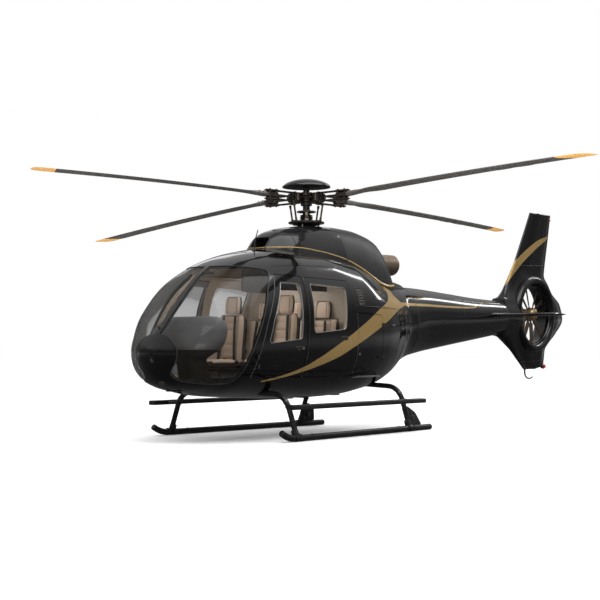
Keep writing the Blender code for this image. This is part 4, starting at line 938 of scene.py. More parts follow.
OUTLINES = outlines()
DOOR_GAP, REAR_GAP = 0.004, 0.0015      # on each side of a door's edge
VENT_FRONT, VENT_REAR = -0.015, -0.145


class HELICOPTER_OT_cabin(bpy.types.Operator):
    """Cabin skin with its window and door openings, seals and nose"""
    bl_idname = "helicopter.cabin"
    bl_label = "Cabin skin"

    def execute(self, context):
        shape = Shape()
        holes = [OUTLINES["windshield"], HULL_SKIN.offset(OUTLINES["front_door"], DOOR_GAP),
                 HULL_SKIN.offset(OUTLINES["rear_door"], REAR_GAP)]
        grooves = [hull_line(((2.20, 0.745), (1.90, 0.735), (1.20, 0.715), (0.30, 0.705))),
                   hull_line(((1.56, 2.235), (1.10, 2.265), (0.60, 2.275), (0.20, 2.272)))]
        panel(shape, HULL_SKIN, skin_span(HULL_SKIN, NOSE, CABIN_AFT + 0.001), holes, grooves, edge=0.0,
              step=0.035, looks=(0, 1, 0))
        angles = np.linspace(0, math.pi, 25)
        rows = [hull_point(np.full(25, NOSE), angles)]
        centre = np.array((NOSE + 0.006, 0, 1.118))
        rows += [centre + (rows[0] - centre) * share + (0.004 * (1 - share * share), 0, 0) - (0.004, 0, 0)
                 for share in (0.9, 0.6, 0.3, 0.01)]
        shape.loft([row[::-1] for row in rows], 0, closed=False, caps=False)
        shape.mirror()
        for side in (1, -1):
            made = Shape()
            bead(made, HULL_SKIN, OUTLINES["windshield"], 0.0065, 0.003, 2)
            shape.take(made.on_side(side))
        build("cabin_skin", shape, AIRFRAME, ("gloss_paint", "beige_trim", "rubber_seal"),
              "cabin_shell")
        return {"FINISHED"}


class HELICOPTER_OT_fuselage(bpy.types.Operator):
    """Rear fuselage with its baggage bay, vents and the tail boom"""
    bl_idname = "helicopter.fuselage"
    bl_label = "Rear fuselage and boom"

    def execute(self, context):
        self.fuselage()
        self.boom()
        self.fairing()
        return {"FINISHED"}

    def fuselage(self):
        """The rear fuselage round the baggage bay, with its vents and side rails."""
        shape = Shape()
        hole = HULL_SKIN.offset(OUTLINES["baggage_door"], DOOR_GAP)
        grooves = [hull_line(((0.10, 1.742), (-0.60, 1.734), (-1.30, 1.725))),
                   hull_line(((-0.10, 0.775), (-0.50, 0.795), (-0.90, 0.812), (-1.35, 0.87))),
                   hull_line(((-1.96, 1.79), (-2.09, 1.63), (-2.17, 1.45), (-2.19, 1.27), (-2.17, 1.15)))]
        panel(shape, HULL_SKIN, skin_span(HULL_SKIN, CABIN_AFT - 0.001, BOOM_START + 0.001), [hole], grooves,
              edge=0.0, looks=(0, 1, 0))
        shape.mirror()
        for x in (0.128, -0.66, -2.15):
            bulkhead(shape, x, 0.03, 0.03, 1)
        shape.block((-0.655, -0.80, 0.775), (0.096, 0.80, 0.800), 0.004, 3)
        for side in (1, -1):
            grille = Shape()
            for z in (1.795 + 0.036 * k for k in range(6)):
                rings = []
                for x in np.linspace(VENT_REAR, VENT_FRONT, 6):
                    y = float(side_y(x, z))
                    rings.append([(x, y - 0.012, z - 0.010), (x, y + 0.004, z - 0.014),
                                  (x, y + 0.005, z - 0.011), (x, y - 0.004, z + 0.010),
                                  (x, y - 0.012, z + 0.010)])
                grille.loft(rings, 2)
            frame_line = hull_line(((VENT_FRONT, 1.775), (VENT_REAR, 1.775), (VENT_REAR, 1.995),
                                    (VENT_FRONT, 1.995), (VENT_FRONT, 1.776)))
            bead(grille, HULL_SKIN, frame_line, 0.006, 0.0, 2)
            rail = hull_line(((0.12, 1.757), (-0.50, 1.750), (-1.31, 1.740)))
            _, _, normal = HULL_SKIN.frame_at(rail)
            path = HULL_SKIN.point(rail) + normal * 0.001
            grille.tube(path, 0.004, 8, 2)
            shape.take(grille.on_side(side))
        build("fuselage_skin", shape, AIRFRAME,
              ("gloss_paint", "grey_trim", "dark_metal", "carpet"), "rear_fuselage")

    def boom(self):
        """The tail boom."""
        shape = Shape()
        panel(shape, HULL_SKIN, skin_span(HULL_SKIN, BOOM_START - 0.001, BOOM_END + 0.004), thickness=0.012,
              edge=0.0, step=0.05, looks=(0, 0, 0))
        shape.mirror()
        for x, radius in ((BOOM_START - 0.004, 0.0035), (-3.72, 0.002), (BOOM_END + 0.012, 0.004)):
            ring = np.linspace(-math.pi, math.pi, 73)[:-1]
            shape.tube(hull_point(np.full(72, x), ring), radius, 6, 1, closed=True)
        for side in (1, -1):
            for angle in np.linspace(0.2, math.pi - 0.2, 18):
                spot = hull_point(np.array(BOOM_START - 0.03), np.array(side * angle))
                shape.bolt(spot, (0, spot[1], spot[2] - 1.56), 0.0045, 0.002, 1)
        build("tail_boom_skin", shape, AIRFRAME, ("gloss_paint", "dark_metal"), "tail_boom")

    def fairing(self):
        """The fairing over the boom."""
        shape = Shape()
        rings = []
        for x, half, top in ((-1.72, 0.24, 2.235), (-1.79, 0.222, 2.215), (-1.87, 0.212, 2.197),
                             (-2.01, 0.20, 2.178), (-2.13, 0.18, 2.160), (-2.21, 0.15, 2.142),
                             (-2.25, 0.10, 2.128)):
            angles = np.linspace(0, math.pi, 17)
            rings.append(np.stack((np.full(17, x), half * np.cos(angles),
                                   2.03 + (top - 2.03) * np.sin(angles) ** 0.7), 1))
        shape.loft(rings)
        shape.bolt((-2.03, 0.10, 2.165), (0, 0.3, 1), 0.006, 0.003)
        shape.bolt((-2.03, -0.10, 2.165), (0, -0.3, 1), 0.006, 0.003)
        build("boom_fairing_skin", shape, AIRFRAME, ("satin_paint",), "boom_fairing", angle=40)


def handle(shape, x0, x1, z, dark, bright):
    """A pull handle over its oval dish."""
    path = []
    for share in np.linspace(0, 1, 13):
        x = x0 + (x1 - x0) * share
        path.append((x, float(side_y(x, z)) - 0.004 + 0.018 * math.sin(math.pi * share) ** 0.5, z))
    shape.tube(path, 0.0085, 10, dark)
    middle, half = (x0 + x1) / 2, abs(x1 - x0) * 0.42
    dish = [(middle + half * math.cos(a), z - 0.012 + 0.034 * math.sin(a)) for a in full_turn(32)]
    shape.loft([[(x, float(side_y(x, at)) + lift, at) for x, at in dish] for lift in (-0.004, 0.002)], dark)
    y = float(side_y(x1 + 0.01, z))
    shape.lathe(((0.013, -0.004), (0.013, 0.004), (0.010, 0.006)), (x1 + 0.01, y, z - 0.02), "Y", 20, bright)


def hinge(shape, x, y, low, high, reach, look):
    """A hinge knuckle with its leaf on the skin."""
    shape.lathe(((0.0075, low), (0.0075, low + 0.016), (0.0068, low + 0.017), (0.0068, low + 0.02),
                 (0.0075, low + 0.021), (0.0075, high)), (x, y, 0), "Z", 16, look)
    shape.block((min(x, x + reach), y - 0.016, low + 0.004), (max(x, x + reach), y - 0.010, high - 0.004),
                0.002, look)


class HELICOPTER_OT_doors(bpy.types.Operator):
    """Front, rear and baggage doors with their windows, linings, handles and hinges"""
    bl_idname = "helicopter.doors"
    bl_label = "Doors and windows"

    def execute(self, context):
        self.front_doors()
        self.rear_doors()
        self.baggage_doors()
        return {"FINISHED"}

    def front_doors(self):
        """Both front doors with their windows."""
        door = Shape()
        window = OUTLINES["front_window"]
        panel(door, HULL_SKIN, HULL_SKIN.offset(OUTLINES["front_door"], -DOOR_GAP), [window], thickness=0.035,
              looks=(0, 1, 1))
        bead(door, HULL_SKIN, window, 0.006, 0.003, 2)
        # A thin bright bead on the glass just inside the seal: a painted highlight, standing for the light
        # line that the black seal catches.
        bead(door, HULL_SKIN, HULL_SKIN.offset(window, -0.007), 0.003, 0.001, 3)
        bead(door, HULL_SKIN, HULL_SKIN.offset(OUTLINES["front_door"], -0.014), 0.0055, 0.034, 2)
        handle(door, 1.43, 1.26, 1.195, 4, 3)
        for low, high in ((0.926, 0.980), (1.042, 1.095)):
            hinge(door, 2.181, 0.974, low, high, -0.03, 4)
        door.block((1.40, 0.895, 0.95), (1.80, 0.915, 1.10), 0.006, 1)
        door.tube([(1.45, 0.905, 1.20), (1.50, 0.885, 1.22), (1.66, 0.885, 1.22), (1.71, 0.905, 1.20)], 0.010,
                  10, 4)
        glass = Shape()
        panel(glass, HULL_SKIN, HULL_SKIN.offset(window, -0.002), thickness=GLASS, sink=0.006,
              looks=(0, 1, 1))
        for word, side in SIDES:
            body = "front_door_" + word
            build(f"front_door_panel_{word}", door.on_side(side), body,
                  ("gloss_paint", "grey_trim", "rubber_seal", "bright_metal_and_seal_highlight", "dark_metal"),
                  f"front_door_{word}")
            build(f"front_door_glass_{word}", glass.on_side(side), body,
                  ("window_acrylic", "acrylic_back"), f"front_window_{word}")

    def rear_doors(self):
        """Both rear doors with their windows."""
        door, glass = Shape(), Shape()
        window = OUTLINES["rear_window"]
        panel(door, HULL_SKIN, HULL_SKIN.offset(OUTLINES["rear_door"], -REAR_GAP), [window], looks=(0, 1, 1))
        bead(door, HULL_SKIN, window, 0.006, 0.003, 2)
        # A thin bright bead on the glass just inside the seal: a painted highlight, standing for the light
        # line that the black seal catches.
        bead(door, HULL_SKIN, HULL_SKIN.offset(window, -0.007), 0.003, 0.001, 3)
        handle(door, 0.47, 0.30, 1.327, 4, 3)
        panel(glass, HULL_SKIN, HULL_SKIN.offset(window, -0.002), thickness=GLASS, sink=0.006,
              looks=(0, 1, 1))
        for word, side in SIDES:
            build(f"rear_door_panel_{word}", door.on_side(side), AIRFRAME,
                  ("gloss_paint", "beige_trim", "rubber_seal", "bright_metal_and_seal_highlight", "dark_metal"),
                  f"rear_door_{word}")
            build(f"rear_door_glass_{word}", glass.on_side(side), AIRFRAME,
                  ("window_acrylic", "acrylic_back"), f"rear_window_{word}")

    def baggage_doors(self):
        """Both baggage doors."""
        door = Shape()
        panel(door, HULL_SKIN, HULL_SKIN.offset(OUTLINES["baggage_door"], -DOOR_GAP), thickness=0.030,
              looks=(0, 1, 1))
        bead(door, HULL_SKIN, HULL_SKIN.offset(OUTLINES["baggage_door"], -0.014), 0.0055, 0.029, 2)
        for low, high in ((1.002, 1.055), (1.477, 1.530)):
            hinge(door, -0.6085, 0.912, low, high, 0.04, 4)
        for z in (1.10, 1.42):
            y = float(side_y(0.02, z))
            door.lathe(((0.018, -0.003), (0.018, 0.002), (0.014, 0.003)), (0.02, y, z), "Y", 20, 3)
            door.block((0.006, y, z - 0.004), (0.034, y + 0.005, z + 0.004), 0.0015, 4)
        for word, side in SIDES:
            build(f"baggage_door_panel_{word}", door.on_side(side), f"baggage_door_{word}",
                  ("gloss_paint", "grey_trim", "rubber_seal", "bright_metal_and_seal_highlight", "dark_metal"),
                  f"baggage_door_{word}")


class HELICOPTER_OT_windshield(bpy.types.Operator):
    """Both halves of the windshield and its wiper"""
    bl_idname = "helicopter.windshield"
    bl_label = "Windshield"

    def execute(self, context):
        glass = Shape()
        panel(glass, HULL_SKIN, HULL_SKIN.offset(OUTLINES["windshield"], -0.002), thickness=GLASS, sink=0.006,
              looks=(0, 1, 1))
        for word, side in SIDES:
            build(f"windshield_glass_{word}", glass.on_side(side), AIRFRAME,
                  ("tinted_acrylic", "acrylic_back"), f"windshield_{word}")
        shape = Shape()
        reach = [hull_point(np.array(x), np.array(0.0)) for x in np.linspace(2.93, 2.42, 14)]
        shape.tube([point + np.array((0.014, 0, 0.018)) for point in reach], 0.006, 8)
        top, foot = reach[-1] + np.array((0.014, 0, 0.018)), reach[0] + np.array((0.014, 0, 0.018))
        shape.bar(foot - np.array((0.02, 0, 0.05)), foot + np.array((0.0, 0, 0.02)), 0.022, 0.022)
        blade = [hull_point(np.array(x), np.array(0.055)) + np.array((0.008, 0, 0.014))
                 for x in np.linspace(2.60, 2.28, 10)]
        shape.tube(blade, 0.005, 6, 1)
        shape.tube([top, blade[5]], 0.004, 6)
        build("windshield_wiper", shape, AIRFRAME, ("dark_metal", "rubber_seal"))
        return {"FINISHED"}


EXHAUST_Z = 2.43
# Height of the gold line round the foot of the cowl, along it
COWL_EDGE = Table(np.array(((1.13, 2.525), (0.71, 2.535), (0.27, 2.500), (-0.19, 2.43), (-0.42, 2.37),
                            (-0.66, 2.29), (-0.90, 2.20), (-1.18, 2.11), (-1.40, 2.085), (-1.75, 2.105))))


def cowl_edge(x):
    """The height of the gold line round the foot of the cowl."""
    return COWL_EDGE(x)[0]


class HELICOPTER_OT_cowls(bpy.types.Operator):
    """Transmission cowl with its intake, engine cowl, gold line and exhaust"""
    bl_idname = "helicopter.cowls"
    bl_label = "Cowls and exhaust"

    def execute(self, context):
        self.transmission_cowl()
        self.engine_cowl()
        self.exhaust()
        return {"FINISHED"}

    def transmission_cowl(self):
        """The transmission cowl with its intake."""
        def intake_spot(y, z):
            low, high = 0.70, COWL_FRONT
            for _ in range(40):
                middle = (low + high) / 2
                top, half, roundness = cowl_table(np.array(middle))
                full = (y / half) ** roundness + ((z - COWL_BASE) / (top - COWL_BASE)) ** roundness
                low, high = (middle, high) if full < 1 else (low, middle)
            return float(COWL_SKIN.u_at(low)), float(np.arcsin((y / half) ** (roundness / 2)))

        notch = [intake_spot(y, 2.507) for y in np.linspace(0, 0.11, 8)]
        notch += [intake_spot(0.11 + 0.03 * math.sin(a), 2.537 - 0.03 * math.cos(a))
                  for a in (0.4, 0.8, 1.2, 1.57)]
        notch += [intake_spot(0.14, z) for z in np.linspace(2.56, 2.63, 5)]
        notch += [intake_spot(0.11 + 0.03 * math.cos(a), 2.642 + 0.03 * math.sin(a))
                  for a in (0.0, 0.4, 0.8, 1.2)]
        notch += [intake_spot(y, 2.672) for y in np.linspace(0.11, 0, 8)]
        notch = np.array(notch)
        front = skin_span(COWL_SKIN, COWL_FRONT, COWL_SPLIT + 0.002, step=0.03)
        on_top = front[:, 1] == 0
        before = front[on_top & (front[:, 0] < notch[:, 0].min())]
        after = front[on_top & (front[:, 0] > notch[:, 0].max())]
        rest = front[~on_top]
        outer = np.concatenate((before, notch, after, rest))
        shape = Shape()
        seam = np.stack((np.full(30, COWL_SKIN.u_at(0.70)), np.linspace(0.02, 1.25, 30)), 1)
        panel(shape, COWL_SKIN, outer, grooves=[seam], thickness=0.02, edge=0.0, step=0.03, looks=(0, 2, 0))
        rim = COWL_SKIN.point(notch)
        back = rim * (0, 1, 1) + (0.76, 0, 0)
        shape.loft([rim, back, back * (1, 0.02, 1)], 2, closed=False, caps=False)
        shape.mirror()
        loop = np.concatenate((rim, (rim * (1, -1, 1))[::-1][1:-1]))
        shape.tube(loop, 0.010, 8, 0, closed=True)
        self.gold_line(shape, np.linspace(1.10, COWL_SPLIT + 0.01, 40), 1)
        build("transmission_cowl_skin", shape, AIRFRAME, ("cowl_paint", "gold_trim", "soot"),
              "transmission_cowl")

    def engine_cowl(self):
        """The engine cowl."""
        shape = Shape()
        panel(shape, COWL_SKIN, skin_span(COWL_SKIN, COWL_SPLIT - 0.002, COWL_REAR, step=0.03),
              thickness=0.02,
              grooves=[np.stack((np.full(26, COWL_SKIN.u_at(-1.04)), np.linspace(0.02, 1.2, 26)), 1)],
              edge=0.0, step=0.03, looks=(0, 2, 0))
        shape.mirror()
        angles = np.linspace(-math.pi / 2, math.pi / 2, 41)
        end = cowl_point(np.full(41, COWL_REAR), angles)
        shape.add(end, [tuple(range(41))], 0)
        self.gold_line(shape, np.linspace(COWL_SPLIT - 0.01, -1.74, 50), 1)
        for side in (1, -1):
            for x in (-0.34, -0.98, -1.10):
                for angle in (0.5, 0.85, 1.15):
                    spot = cowl_point(np.array(x), np.array(side * angle))
                    shape.bolt(spot, (0, spot[1], spot[2] - 2.2), 0.006, 0.003, 3)
        build("engine_cowl_skin", shape, AIRFRAME,
              ("satin_paint", "gold_trim", "soot", "dark_metal"), "engine_cowl")

    def exhaust(self):
        """The exhaust pipe, open at its rear end."""
        shape = Shape()
        shape.lathe(((0.120, -1.26), (0.135, -1.251), (0.154, -1.43), (0.154, -1.90), (0.1565, -1.902),
                     (0.1565, -1.915), (0.154, -1.918), (0.154, -1.975), (0.158, -1.978), (0.158, -1.986),
                     (0.154, -1.989), (0.154, -2.040), (0.1575, -2.043), (0.1575, -2.050), (0.154, -2.053),
                     (0.154, -2.074), (0.1565, -2.079), (0.1545, -2.0815), (0.149, -2.079)),
                    (0, 0, EXHAUST_Z), "X", 64)
        # The closing face goes, because the inside of the pipe starts there.
        shape.faces.pop()
        shape.looks.pop()
        shape.normals.pop()
        shape.lathe(((0.149, -2.079), (0.146, -1.98), (0.144, -1.61), (0.142, -1.48), (0.03, -1.46)),
                    (0, 0, EXHAUST_Z), "X", 64, 1)
        build("exhaust_stack", shape, AIRFRAME, ("exhaust_metal", "soot"), "exhaust_pipe",
              turn=False)

    def gold_line(self, shape, xs, look):
        top, _, roundness = cowl_table(xs)
        share = np.clip((cowl_edge(xs) - COWL_BASE) / (top - COWL_BASE), 0, 1)
        angle = np.arccos(share ** (roundness / 2))
        for side in (1, -1):
            points = cowl_point(xs, side * angle)
            shape.tube(points, np.interp(xs, (-1.5, -0.9, -0.3, 0.6), (0.018, 0.015, 0.009, 0.008)), 8, look)


def fin_half(x, z):
    """Half the fin's thickness at a place in side view, with its rounded edges and the duct's lip."""
    lead, trail, front, middle, rear = fin_table(z)
    share = np.clip((lead - x) / (lead - trail), 0, 1)
    chord = lead - trail
    columns = (front, front, middle, middle, rear)
    half = np.zeros_like(share)
    for a, b, first, second in zip(FIN_SHARES, FIN_SHARES[1:], columns, columns[1:]):
        t = np.clip((share - a) / (b - a), 0, 1)
        half = np.where((share >= a) & (share <= b), first + (second - first) * t * t * (3 - 2 * t), half)
    round_front = np.clip(share * chord / np.maximum(front * 1.6, 0.012), 0, 1)
    blunt = (z > 1.36) & (z < 2.02)
    edge = np.sqrt(np.clip(1 - (1 - round_front) ** 2, 0, 1))
    half = half * np.where(blunt, 1.0, edge)
    tail = np.clip((1 - share) * chord / np.maximum(rear, 0.008), 0, 1)
    half = half * np.sqrt(np.clip(1 - (1 - tail) ** 2, 0, 1))
    foot = np.clip((z - FIN[0, 0]) / 0.02, 0, 1)
    crown = np.clip((FIN[-1, 0] - z) / 0.02, 0, 1)
    half = half * np.sqrt(1 - (1 - foot) ** 2) * np.sqrt(1 - (1 - crown) ** 2)
    away = np.hypot(x - FAN_X, z - FAN_Z)
    lip = np.clip((LIP_RADIUS - away) / (LIP_RADIUS - DUCT_RADIUS), 0, 1)
    return half - 0.055 * (1 - np.sqrt(1 - lip ** 2))


def shroud_skin(shape, look):
    """The fin and the shroud round the fan, both faces, with the duct cut through."""
    levels = np.unique(np.concatenate((np.linspace(FIN[0, 0], 0.84, 6), np.linspace(0.84, 3.54, 100),
                                       np.linspace(3.54, FIN[-1, 0], 6))))
    lead, trail = fin_table(levels)[:2]
    points = [(x, z) for x, z in zip(trail, levels)] + [(x, z) for x, z in zip(lead[::-1], levels[::-1])]
    outline_count = len(points)
    edges = [(i, (i + 1) % outline_count) for i in range(outline_count)]
    turns = full_turn(144)
    shares = (0, 0.012, 0.05, 0.12, 0.22, 0.36, 0.52, 0.7, 0.86, 1.0, 1.15)
    for share in shares:
        start, radius = len(points), DUCT_RADIUS + (LIP_RADIUS - DUCT_RADIUS) * share
        points += [(FAN_X + radius * math.sin(a), FAN_Z + radius * math.cos(a)) for a in turns]
        edges += [(start + i, start + (i + 1) % len(turns)) for i in range(len(turns))]
    spread = np.concatenate(((0.002, 0.006, 0.014, 0.026, 0.042, 0.065), np.linspace(0.10, 0.93, 30),
                             (0.955, 0.975, 0.988, 0.996)))
    outer = np.array(points[:outline_count])
    for z, front, back in zip(levels[1:-1], lead[1:-1], trail[1:-1]):
        for share in spread:
            x = front + (back - front) * share
            if math.hypot(x - FAN_X, z - FAN_Z) > LIP_RADIUS + 0.012:
                points.append((x, z))
    flat, _, triangles, _, _, _ = delaunay_2d_cdt([Vector(p) for p in points], edges, [], 0, 1e-6, False)
    flat, triangles = np.array([tuple(p) for p in flat]), np.array(triangles)
    middles = flat[triangles].mean(1)
    away = np.hypot(*(middles - (FAN_X, FAN_Z)).T)
    triangles = triangles[inside(middles, outer) & (away > DUCT_RADIUS - 0.001)]
    half = np.maximum(fin_half(flat[:, 0], flat[:, 1]), 0)
    half[half < 1e-4] = 0
    port = np.stack((flat[:, 0], half, flat[:, 1]), 1)
    count = len(flat)
    base = shape.add(np.concatenate((port, port * (1, -1, 1))), [(a, c, b) for a, b, c in triangles], look)
    pairs = {pair for a, b, c in triangles.tolist() for pair in ((a, b), (b, c), (c, a))}

    def join(i):
        return i if half[i] == 0 else i + count

    extra = [tuple(base + join(i) for i in (a, b, c)) for a, b, c in triangles]
    for a, b in pairs:
        if (b, a) not in pairs:
            ring = []
            for i in (a, b, join(b), join(a)):
                if i not in ring:
                    ring.append(i)
            if len(ring) > 2:
                extra.append(tuple(base + i for i in ring))
    shape.faces += extra
    shape.looks += [look] * len(extra)
    shape.normals += [None] * len(extra)


def airfoil(chord, thickness, count=15):
    """A wing section's loop of (along, up) points from its nose, with a blunt thin tail."""
    share = (1 - np.cos(np.linspace(0, math.pi, count))) / 2
    half = 5 * thickness * (0.2969 * np.sqrt(share) - 0.1260 * share - 0.3516 * share ** 2
                            + 0.2843 * share ** 3 - 0.1015 * share ** 4) + 0.004 * share
    upper = np.stack((share * chord, half * chord), 1)
    return np.concatenate((upper, (upper * (1, -1))[-1:0:-1]))


class HELICOPTER_OT_tail(bpy.types.Operator):
    """Fin, fan shroud, stabilisers, tail guard and lamps"""
    bl_idname = "helicopter.tail"
    bl_label = "Fin and shroud"

    def execute(self, context):
        self.fin()
        self.stabilisers()
        self.guard()
        return {"FINISHED"}

    def fin(self):
        """The fin with the fan's shroud."""
        shape = Shape()
        shroud_skin(shape, 0)
        for y, radius in ((0.0, 0.0035), (0.055, 0.0025), (-0.055, 0.0025)):
            ring = [(FAN_X + (DUCT_RADIUS - 0.001) * math.sin(a), y,
                     FAN_Z + (DUCT_RADIUS - 0.001) * math.cos(a))
                    for a in full_turn(96)]
            shape.tube(ring, radius, 6, 1, closed=True)
        for y in (0.112, -0.112):
            ring = [(FAN_X + 0.59 * math.sin(a), y, FAN_Z + 0.59 * math.cos(a)) for a in full_turn(96)]
            shape.tube(ring, 0.072, 24, 0, closed=True)
        for low, high in (((-5.93, 0.93), (-6.80, 0.955)), ((-5.80, 2.60), (-6.88, 2.64))):
            for side in (1, -1):
                line = stretch((low, high), 0.03)[1:-1]
                points = [(x, side * (float(fin_half(np.array(x), np.array(z))) + 0.0003), z)
                          for x, z in line]
                shape.tube(points, 0.0022, 6, 1)
        for side in (1, -1):
            hinge_line = stretch(((-6.62, 2.66), (-6.86, 3.52)), 0.05)
            points = [(x, side * (float(fin_half(np.array(x), np.array(z))) + 0.0003), z)
                      for x, z in hinge_line]
            shape.tube(points, 0.0022, 6, 1)
        shape.lathe(((0.012, -6.735), (0.032, -6.745), (0.034, -6.765), (0.034, -6.775)), (0, 0, 0.845), "X",
                    24, 1)
        shape.lathe(((0.038, -6.775), (0.046, -6.800), (0.040, -6.838), (0.012, -6.852)), (0, 0, 0.845), "X",
                    24, 2)
        shape.lathe(((0.010, -6.92), (0.016, -6.93), (0.018, -7.02), (0.018, -7.035)), (0, 0, 3.47), "X", 24,
                    1)
        shape.lathe(((0.020, -7.035), (0.023, -7.06), (0.018, -7.085), (0.006, -7.098)), (0, 0, 3.47), "X",
                    24, 2)
        shape.lathe(((0.045, 3.545), (0.050, 3.550), (0.030, 3.556), (0.028, 3.5595)), (-6.62, 0, 0), "Z", 24,
                    1)
        build("fin_and_shroud_skin", shape, AIRFRAME,
              ("gloss_paint", "dark_metal", "red_lens"), "fin_and_shroud", angle=40)

    def stabilisers(self):
        """Both stabilisers."""
        for word, side in SIDES:
            shape = Shape()
            rings = []
            for y, lead, chord, thick in ((0.17, -4.615, 0.505, 0.140), (0.40, -4.632, 0.488, 0.138),
                                          (0.80, -4.660, 0.460, 0.134), (1.32, -4.698, 0.424, 0.128),
                                          (1.352, -4.704, 0.412, 0.105), (1.364, -4.715, 0.388, 0.050)):
                rings.append([(lead - along, y, 1.72 + up) for along, up in airfoil(chord, thick)])
            shape.loft(rings)
            shape.tube([(-4.605, 0.20, 1.72), (-4.60, 0.235, 1.72), (-5.14, 0.235, 1.72),
                        (-5.14, 0.20, 1.72)],
                       0.006, 8, 1)
            shape.tube([(lead, y, 1.7385) for y, lead in ((0.26, -4.97), (0.8, -4.99), (1.33, -5.01))],
                       0.0022, 6, 1)
            for y in (0.30, 0.62, 0.95, 1.28):
                shape.bolt((-4.84 - 0.05 * y, y, 1.7525 - 0.004 * y), (0, 0, 1), 0.004, 0.0016, 1)
            build(f"stabiliser_skin_{word}", shape.on_side(side), AIRFRAME,
                  ("gloss_paint", "dark_metal"), f"stabiliser_{word}")

    def guard(self):
        """The guard under the tail."""
        shape = Shape()
        bend = smooth_path([(-6.15, 0.80), (-6.15, 0.74), (-6.17, 0.69), (-6.22, 0.655), (-6.30, 0.64),
                            (-6.37, 0.645), (-6.42, 0.665)])
        path = [(x, 0, z) for x, z in bend]
        shape.tube(path, [0.015 - 0.004 * k / len(path) for k in range(len(path))], 14)
        shape.lathe(((0.020, 0.792), (0.024, 0.800), (0.024, 0.815), (0.016, 0.825)), (-6.15, 0, 0), "Z", 24)
        build("tail_guard_rod", shape, AIRFRAME, ("dark_metal",), "tail_guard")


def smooth_path(points, pieces=8):
    """A soft curve through points, of any number of columns."""
    points = np.array(points, float)
    places = np.concatenate(((0,), np.cumsum(np.linalg.norm(np.diff(points, axis=0), axis=1))))
    ways = np.gradient(points, places, axis=0)
    made = []
    for i in range(len(points) - 1):
        width = places[i + 1] - places[i]
        for k in range(pieces):
            t = k / pieces
            made.append(points[i] * (1 + 2 * t) * (1 - t) ** 2 + points[i + 1] * t * t * (3 - 2 * t)
                        + width * (ways[i] * t * (1 - t) ** 2 - ways[i + 1] * t * t * (1 - t)))
    return np.array(made + [points[-1]])


class HELICOPTER_OT_tail_fan(bpy.types.Operator):
    """Ten unevenly spaced fan blades with their hub, and the stator behind"""
    bl_idname = "helicopter.tail_fan"
    bl_label = "Tail fan"

    def execute(self, context):
        self.fan()
        self.stator()
        return {"FINISHED"}

    def fan(self):
        """The turning fan."""
        shape = Shape()
        shape.lathe(((0.004, 0.1625), (0.012, 0.162), (0.030, 0.1595), (0.050, 0.154), (0.075, 0.142),
                     (0.095, 0.124), (0.107, 0.104), (0.1145, 0.080), (0.115, 0.0), (0.1148, -0.026),
                     (0.108, -0.031), (0.060, -0.0345), (0.01, -0.035)), (FAN_X, 0, FAN_Z), "Y", 64, 0)
        for degrees in FAN_BLADES:
            angle = math.radians(degrees)
            out = Vector((-math.sin(angle), 0, math.cos(angle)))
            along = Vector((math.cos(angle), 0, math.sin(angle)))
            rings = []
            for radius in (0.100, 0.125, 0.145, 0.165, 0.20, 0.26, 0.32, 0.38, 0.44, 0.480, 0.489):
                share = min(max((radius - 0.145) / 0.34, 0), 1)
                pitch = math.radians(18 - 6 * share)
                chord = 0.030 if radius < 0.13 else 0.045 if radius < 0.15 else 0.090 + 0.006 * share
                chord *= 0.9 if radius > 0.485 else 1
                thick = 0.55 if radius < 0.13 else 0.30 if radius < 0.15 else 0.13 - 0.05 * share
                ring = []
                for x, up in airfoil(chord, thick, 10):
                    x -= chord * 0.42
                    ring.append(Vector((FAN_X, 0.03, FAN_Z)) + out * radius
                                + along * (x * math.cos(pitch) - up * math.sin(pitch))
                                + Vector((0, 1, 0)) * (x * math.sin(pitch) + up * math.cos(pitch)))
                rings.append(ring)
            shape.loft(rings, 1)
            cuff = [Vector((FAN_X, 0.03, FAN_Z)) + out * radius for radius in (0.110, 0.122, 0.134)]
            shape.tube(cuff, [0.020, 0.021, 0.014], 14, 2)
            shape.bolt(Vector((FAN_X, 0.127, FAN_Z)) + out * 0.092, (out.x * 0.5, 1, out.z * 0.5), 0.006,
                       0.004, 2)
        build("tail_fan_rotor", shape, TAIL_FAN, ("gold_metal", "bronze_metal", "dark_metal"),
              "tail_fan", angle=40)

    def stator(self):
        """The stator, held in the duct by its struts."""
        shape = Shape()
        shape.lathe(((0.040, -0.0353), (0.042, -0.050), (0.098, -0.051), (0.100, -0.056), (0.100, -0.148),
                     (0.096, -0.162), (0.082, -0.197), (0.066, -0.210), (0.030, -0.220), (0.004, -0.221)),
                    (FAN_X, 0, FAN_Z), "Y", 48, 0)
        for degrees in (75, 195, 315):
            angle = math.radians(degrees)
            out = Vector((-math.sin(angle), 0, math.cos(angle)))
            along = Vector((math.cos(angle), 0, math.sin(angle)))
            rings = []
            for radius in (0.095, 0.11, 0.30, 0.48, 0.4985):
                wide = 0.075 if 0.1 < radius < 0.45 else 0.085
                centre = Vector((FAN_X, -0.085, FAN_Z)) + out * radius
                rings.append([centre + Vector((0, wide / 2 - x, 0)) + along * up
                              for x, up in airfoil(wide, 0.20, 10)])
            shape.loft(rings, 1)
        shaft = [(FAN_X + 0.09, -0.10, FAN_Z - 0.01), (FAN_X + 0.30, -0.10, FAN_Z - 0.02),
                 (FAN_X + 0.499, -0.10, FAN_Z - 0.03)]
        shape.tube(shaft, 0.022, 18, 1)
        build("fan_stator_vanes", shape, AIRFRAME, ("cast_metal", "dark_metal"), "fan_stator",
              angle=40)


# A softened bar's section, as shares of its half width and half thickness
ARM_SECTION = ((-0.85, -1), (0.85, -1), (1, -0.6), (1, 0.6), (0.85, 1), (-0.85, 1), (-1, 0.6), (-1, -0.6))


def spoke(number):
    """Directions out along blade arm number and across it."""
    angle = math.radians(FIRST_BLADE + 90 * number)
    return Vector((math.cos(angle), math.sin(angle), 0)), Vector((-math.sin(angle), math.cos(angle), 0))


